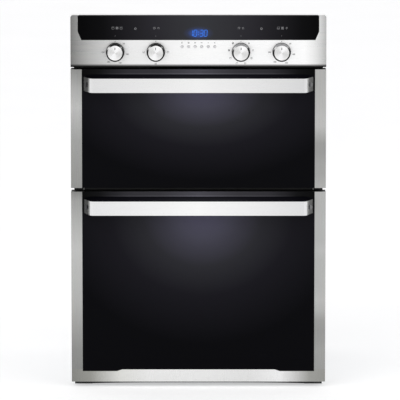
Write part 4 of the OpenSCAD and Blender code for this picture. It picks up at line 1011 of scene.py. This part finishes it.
class DOUBLEOVEN_OT_marks(bpy.types.Operator):
    """Prints the dial numbers and plain signs on the steel and the glass"""
    bl_idname = "double_oven.marks"
    bl_label = "Printed Marks"

    def execute(self, context):
        self.on_steel(screen_ink("ink_on_steel", colours().ink_on_steel))
        self.on_glass(screen_ink("ink_on_glass", colours().ink_on_glass))
        return {"FINISHED"}

    def on_steel(self, ink):
        """A pointer over each knob, marks round it, and a sign over each button."""
        reach = KNOB_R / MM + 6.5
        lines, numbers = [], []
        for i, knob in enumerate(KNOBS):
            x, z = knob.x / MM, knob.z / MM
            tip, base = z + 23.6, z + 25.6
            lines += [[(x - 1.2, base), (x + 1.2, base), (x, tip), (x - 1.2, base)]]
            start, step, shown = DIALS.get(i, HEAT_DIAL)
            for k, name in enumerate(shown):
                turn = math.radians(start + step * k)
                at = (x + (reach + 0.8) * math.sin(turn), z + reach * math.cos(turn))
                if i in DIALS:
                    lines += sign(name, *at, 2.0)
                else:
                    numbers.append((name, *at))
        for centre, name in zip(BUTTONS, ("bell", "clock", "pot", "key", "minus", "plus")):
            lines += sign(name, centre.x / MM, centre.z / MM + 9.3, 1.9)
        drawn("signs_on_steel", lines, sizes().mark_line * STEEL_PRINT, STEEL_FACE, ink)
        lettered("dial_numbers", numbers, sizes().number_size, STEEL_FACE, ink)

    def on_glass(self, ink):
        """Signs over each knob with a dot under them, and a ring round each lamp."""
        top, low = 845.5, 827
        lines = []
        for x, names in GLASS_SIGNS.items():
            for k, name in enumerate(names):
                lines += sign(name, x + (k - (len(names) - 1) / 2) * 9.5, top, 2.6)
        for centre in KNOBS:
            lines += [arc(centre.x / MM, low, 0.45, steps=8)]
        drawn("signs_on_glass", lines, sizes().mark_line, GLASS_FACE, ink)
        rings = [arc(x, 844, 2.1, steps=20) for x in (-146.5, 146.5)]
        drawn("indicator_rings", rings, 0.9, GLASS_FACE, ink)


# A pressed bead's corner, width and height in millimetres, its body, its slot and its eased edge
BEAD = (34, 13, 3.0, "housing", "zinc_sheet", 1.3)


class DOUBLEOVEN_OT_housing_details(bpy.types.Operator):
    """Adds the housing's pressed beads and screws, the frame's lip and the cable gland's nut"""
    bl_idname = "double_oven.housing_details"
    bl_label = "Housing Details"

    def execute(self, context):
        zinc, moulding = stock("galvanised_sheet"), stock("moulded_abs")
        bolt = worked_metal("yellow_zinc_screw", "#b9a878", "#8f8058", 3, 0.3)
        side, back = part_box("side_panel_right")[1].x / MM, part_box("back_panel")[1].y / MM
        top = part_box("back_panel")[1].z / MM + 1.2
        for name, way in (("left", -1), ("right", 1)):
            ring_plate(f"side_bead_{name}", zinc, (way * side, 45, 525), (way, 0, 0), (400, 420),
                       *BEAD)
        ring_plate("back_bead", zinc, (0, back, 470), (0, 1, 0), (420, 330), *BEAD)
        heights = (60, 290, 520, 750)
        sides = [((s * side, y, z), (s, 0, 0)) for s in (-1, 1) for y in (-203, 282)
                 for z in heights]
        rear = [((x, back, z), (0, 1, 0)) for x in (-266, 266) for z in heights]
        rear += [((x, back, z), (0, 1, 0)) for x in (-130, 0, 130) for z in (22, 812)]
        lid = [((s * 266, y, top), (0, 0, 1)) for s in (-1, 1) for y in (-30, 120, 270)]
        lid += [((x, 280, top), (0, 0, 1)) for x in (-130, 0, 130)]
        for name, spots in (("side", sides), ("back", rear), ("top", lid)):
            screwed(f"{name}_screws", bolt, spots)
        self.frame_lip()
        eased("terminal_box", sizes().terminal_edge, moulding)
        self.gland_nut(moulding)
        return {"FINISHED"}

    def frame_lip(self):
        """The front frame's lower edge, arched a little between its two feet."""
        low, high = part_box("front_frame")
        foot, foot_z, rise, points = 40, 1.85, 2.2, 16
        half = high.x / MM - foot
        arch = [(half * i / points, foot_z + rise * (1 - abs(i / points) ** 4))
                for i in range(-points, points + 1)]
        drawn("frame_lip", [arch], 3.6, (low.y + high.y) / 2, stock("powder_coated_steel"))

    def gland_nut(self, moulding):
        """A hexagon nut round the cable gland, with a hole through it."""
        centre, foot = middle("terminal_box"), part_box("terminal_box")[0].z
        nut = started(bpy.ops.mesh.primitive_cylinder_add, vertices=6, radius=9.9 * MM,
                      depth=6 * MM, rotation=(0, 0, math.radians(30)),
                      location=(centre.x, centre.y, foot + 6 * MM))
        picked(nut, lambda normal: abs(normal.z) > 0.9)
        bpy.ops.mesh.inset(thickness=1.6 * MM)
        bpy.ops.mesh.bridge_edge_loops()
        closed()
        rounded(nut, 0.4 * MM)
        settled(nut, "gland_nut", moulding, "housing")


class DOUBLEOVEN_OT_door_details(bpy.types.Operator):
    """Adds the inner panes' printed borders and clips, and the screws on the doors' inner faces"""
    bl_idname = "double_oven.door_details"
    bl_label = "Door Details"

    def execute(self, context):
        frit = screen_ink("black_frit", "#0d0d0e")
        spring = worked_metal("sprung_stainless", "#c2c2c0", "#a2a2a0", 4, 0.28)
        for door in DOORS:
            low, high = [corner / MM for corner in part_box(f"{door}_door_panes")]
            body, span = f"{door}_door", high - low
            inner = Vector(((low.x + high.x) / 2, high.y, (low.z + high.z) / 2))
            ring_plate(f"{door}_pane_border", frit, inner, (0, 1, 0), (span.x - 6, span.z - 6),
                       14, 30, 0.12, body, "black_glass")
            clips = [self.clip((x, high.y, low.z + share * span.z))
                     for x in (low.x + 3.5, high.x - 3.5) for share in (0.3, 0.7)]
            settled(joined(clips), f"{door}_pane_clips", spring, body)
            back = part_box(f"{door}_door_pan")[1].y / MM
            spots = [((s * 284, back, z), (0, 1, 0)) for s in (-1, 1)
                     for z in (low.z + 60, inner.z, high.z - 45)]
            screwed(f"{door}_door_screws", spring, spots, body, r=3.6 * MM)
        return {"FINISHED"}

    def clip(self, place):
        """A folded spring clip: a small plate with a raised lip, in millimetres."""
        clip = started(bpy.ops.mesh.primitive_cube_add, size=1, location=Vector(place) * MM)
        clip.scale = (11 * MM, 1.6 * MM, 22 * MM)
        stepped(applied(clip), (0, 1, 0), 3 * MM, 0.5 * MM)
        return rounded(clip, 0.3 * MM)


class DOUBLEOVEN_OT_cavity_details(bpy.types.Operator):
    """Adds the screws of the fan cover"""
    bl_idname = "double_oven.cavity_details"
    bl_label = "Cavity Details"

    def execute(self, context):
        low, high = [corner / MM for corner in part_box("fan_cover")]
        dark = worked_metal("enamelled_screw", "#4c5158", "#3a3f46", 4, 0.35, 0.6)
        spots = [((x, low.y, z), (0, -1, 0)) for x in (low.x + 8, high.x - 8)
                 for z in (low.z + 9, high.z - 9)]
        screwed("fan_cover_screws", dark, spots, r=4.0 * MM)
        return {"FINISHED"}


class DOUBLEOVEN_PT_pieces(bpy.types.Panel):
    """Lists the oven's pieces"""
    bl_idname = "DOUBLEOVEN_PT_pieces"
    bl_label = "Double Oven"
    bl_space_type = "VIEW_3D"
    bl_region_type = "UI"
    bl_category = "Double Oven"

    def draw(self, context):
        for group in SETTINGS:
            settings = getattr(context.scene, group)
            box = self.layout.box()
            for name in settings.__annotations__:
                box.prop(settings, name)
        for piece in PIECES:
            self.layout.operator(piece.bl_idname)


PIECES = (
    DOUBLEOVEN_OT_stage, DOUBLEOVEN_OT_finishes, DOUBLEOVEN_OT_fascia, DOUBLEOVEN_OT_doors,
    DOUBLEOVEN_OT_handles, DOUBLEOVEN_OT_knobs, DOUBLEOVEN_OT_buttons, DOUBLEOVEN_OT_display,
    DOUBLEOVEN_OT_marks, DOUBLEOVEN_OT_housing_details, DOUBLEOVEN_OT_door_details,
    DOUBLEOVEN_OT_cavity_details,
)
SETTINGS = {"oven_sizes": OvenSizes, "oven_colours": OvenColours, "oven_stage": OvenStage}
CLASSES = (*SETTINGS.values(), *PIECES, DOUBLEOVEN_PT_pieces)


def register():
    for kind in CLASSES:
        bpy.utils.register_class(kind)
    for name, group in SETTINGS.items():
        setattr(bpy.types.Scene, name, PointerProperty(type=group))


def unregister():
    for name in SETTINGS:
        delattr(bpy.types.Scene, name)
    for kind in reversed(CLASSES):
        bpy.utils.unregister_class(kind)


def main():
    """Makes every piece in turn."""
    register()
    for piece in PIECES:
        area, action = piece.bl_idname.split(".")
        getattr(getattr(bpy.ops, area), action)()


if __name__ == "__main__":
    main()
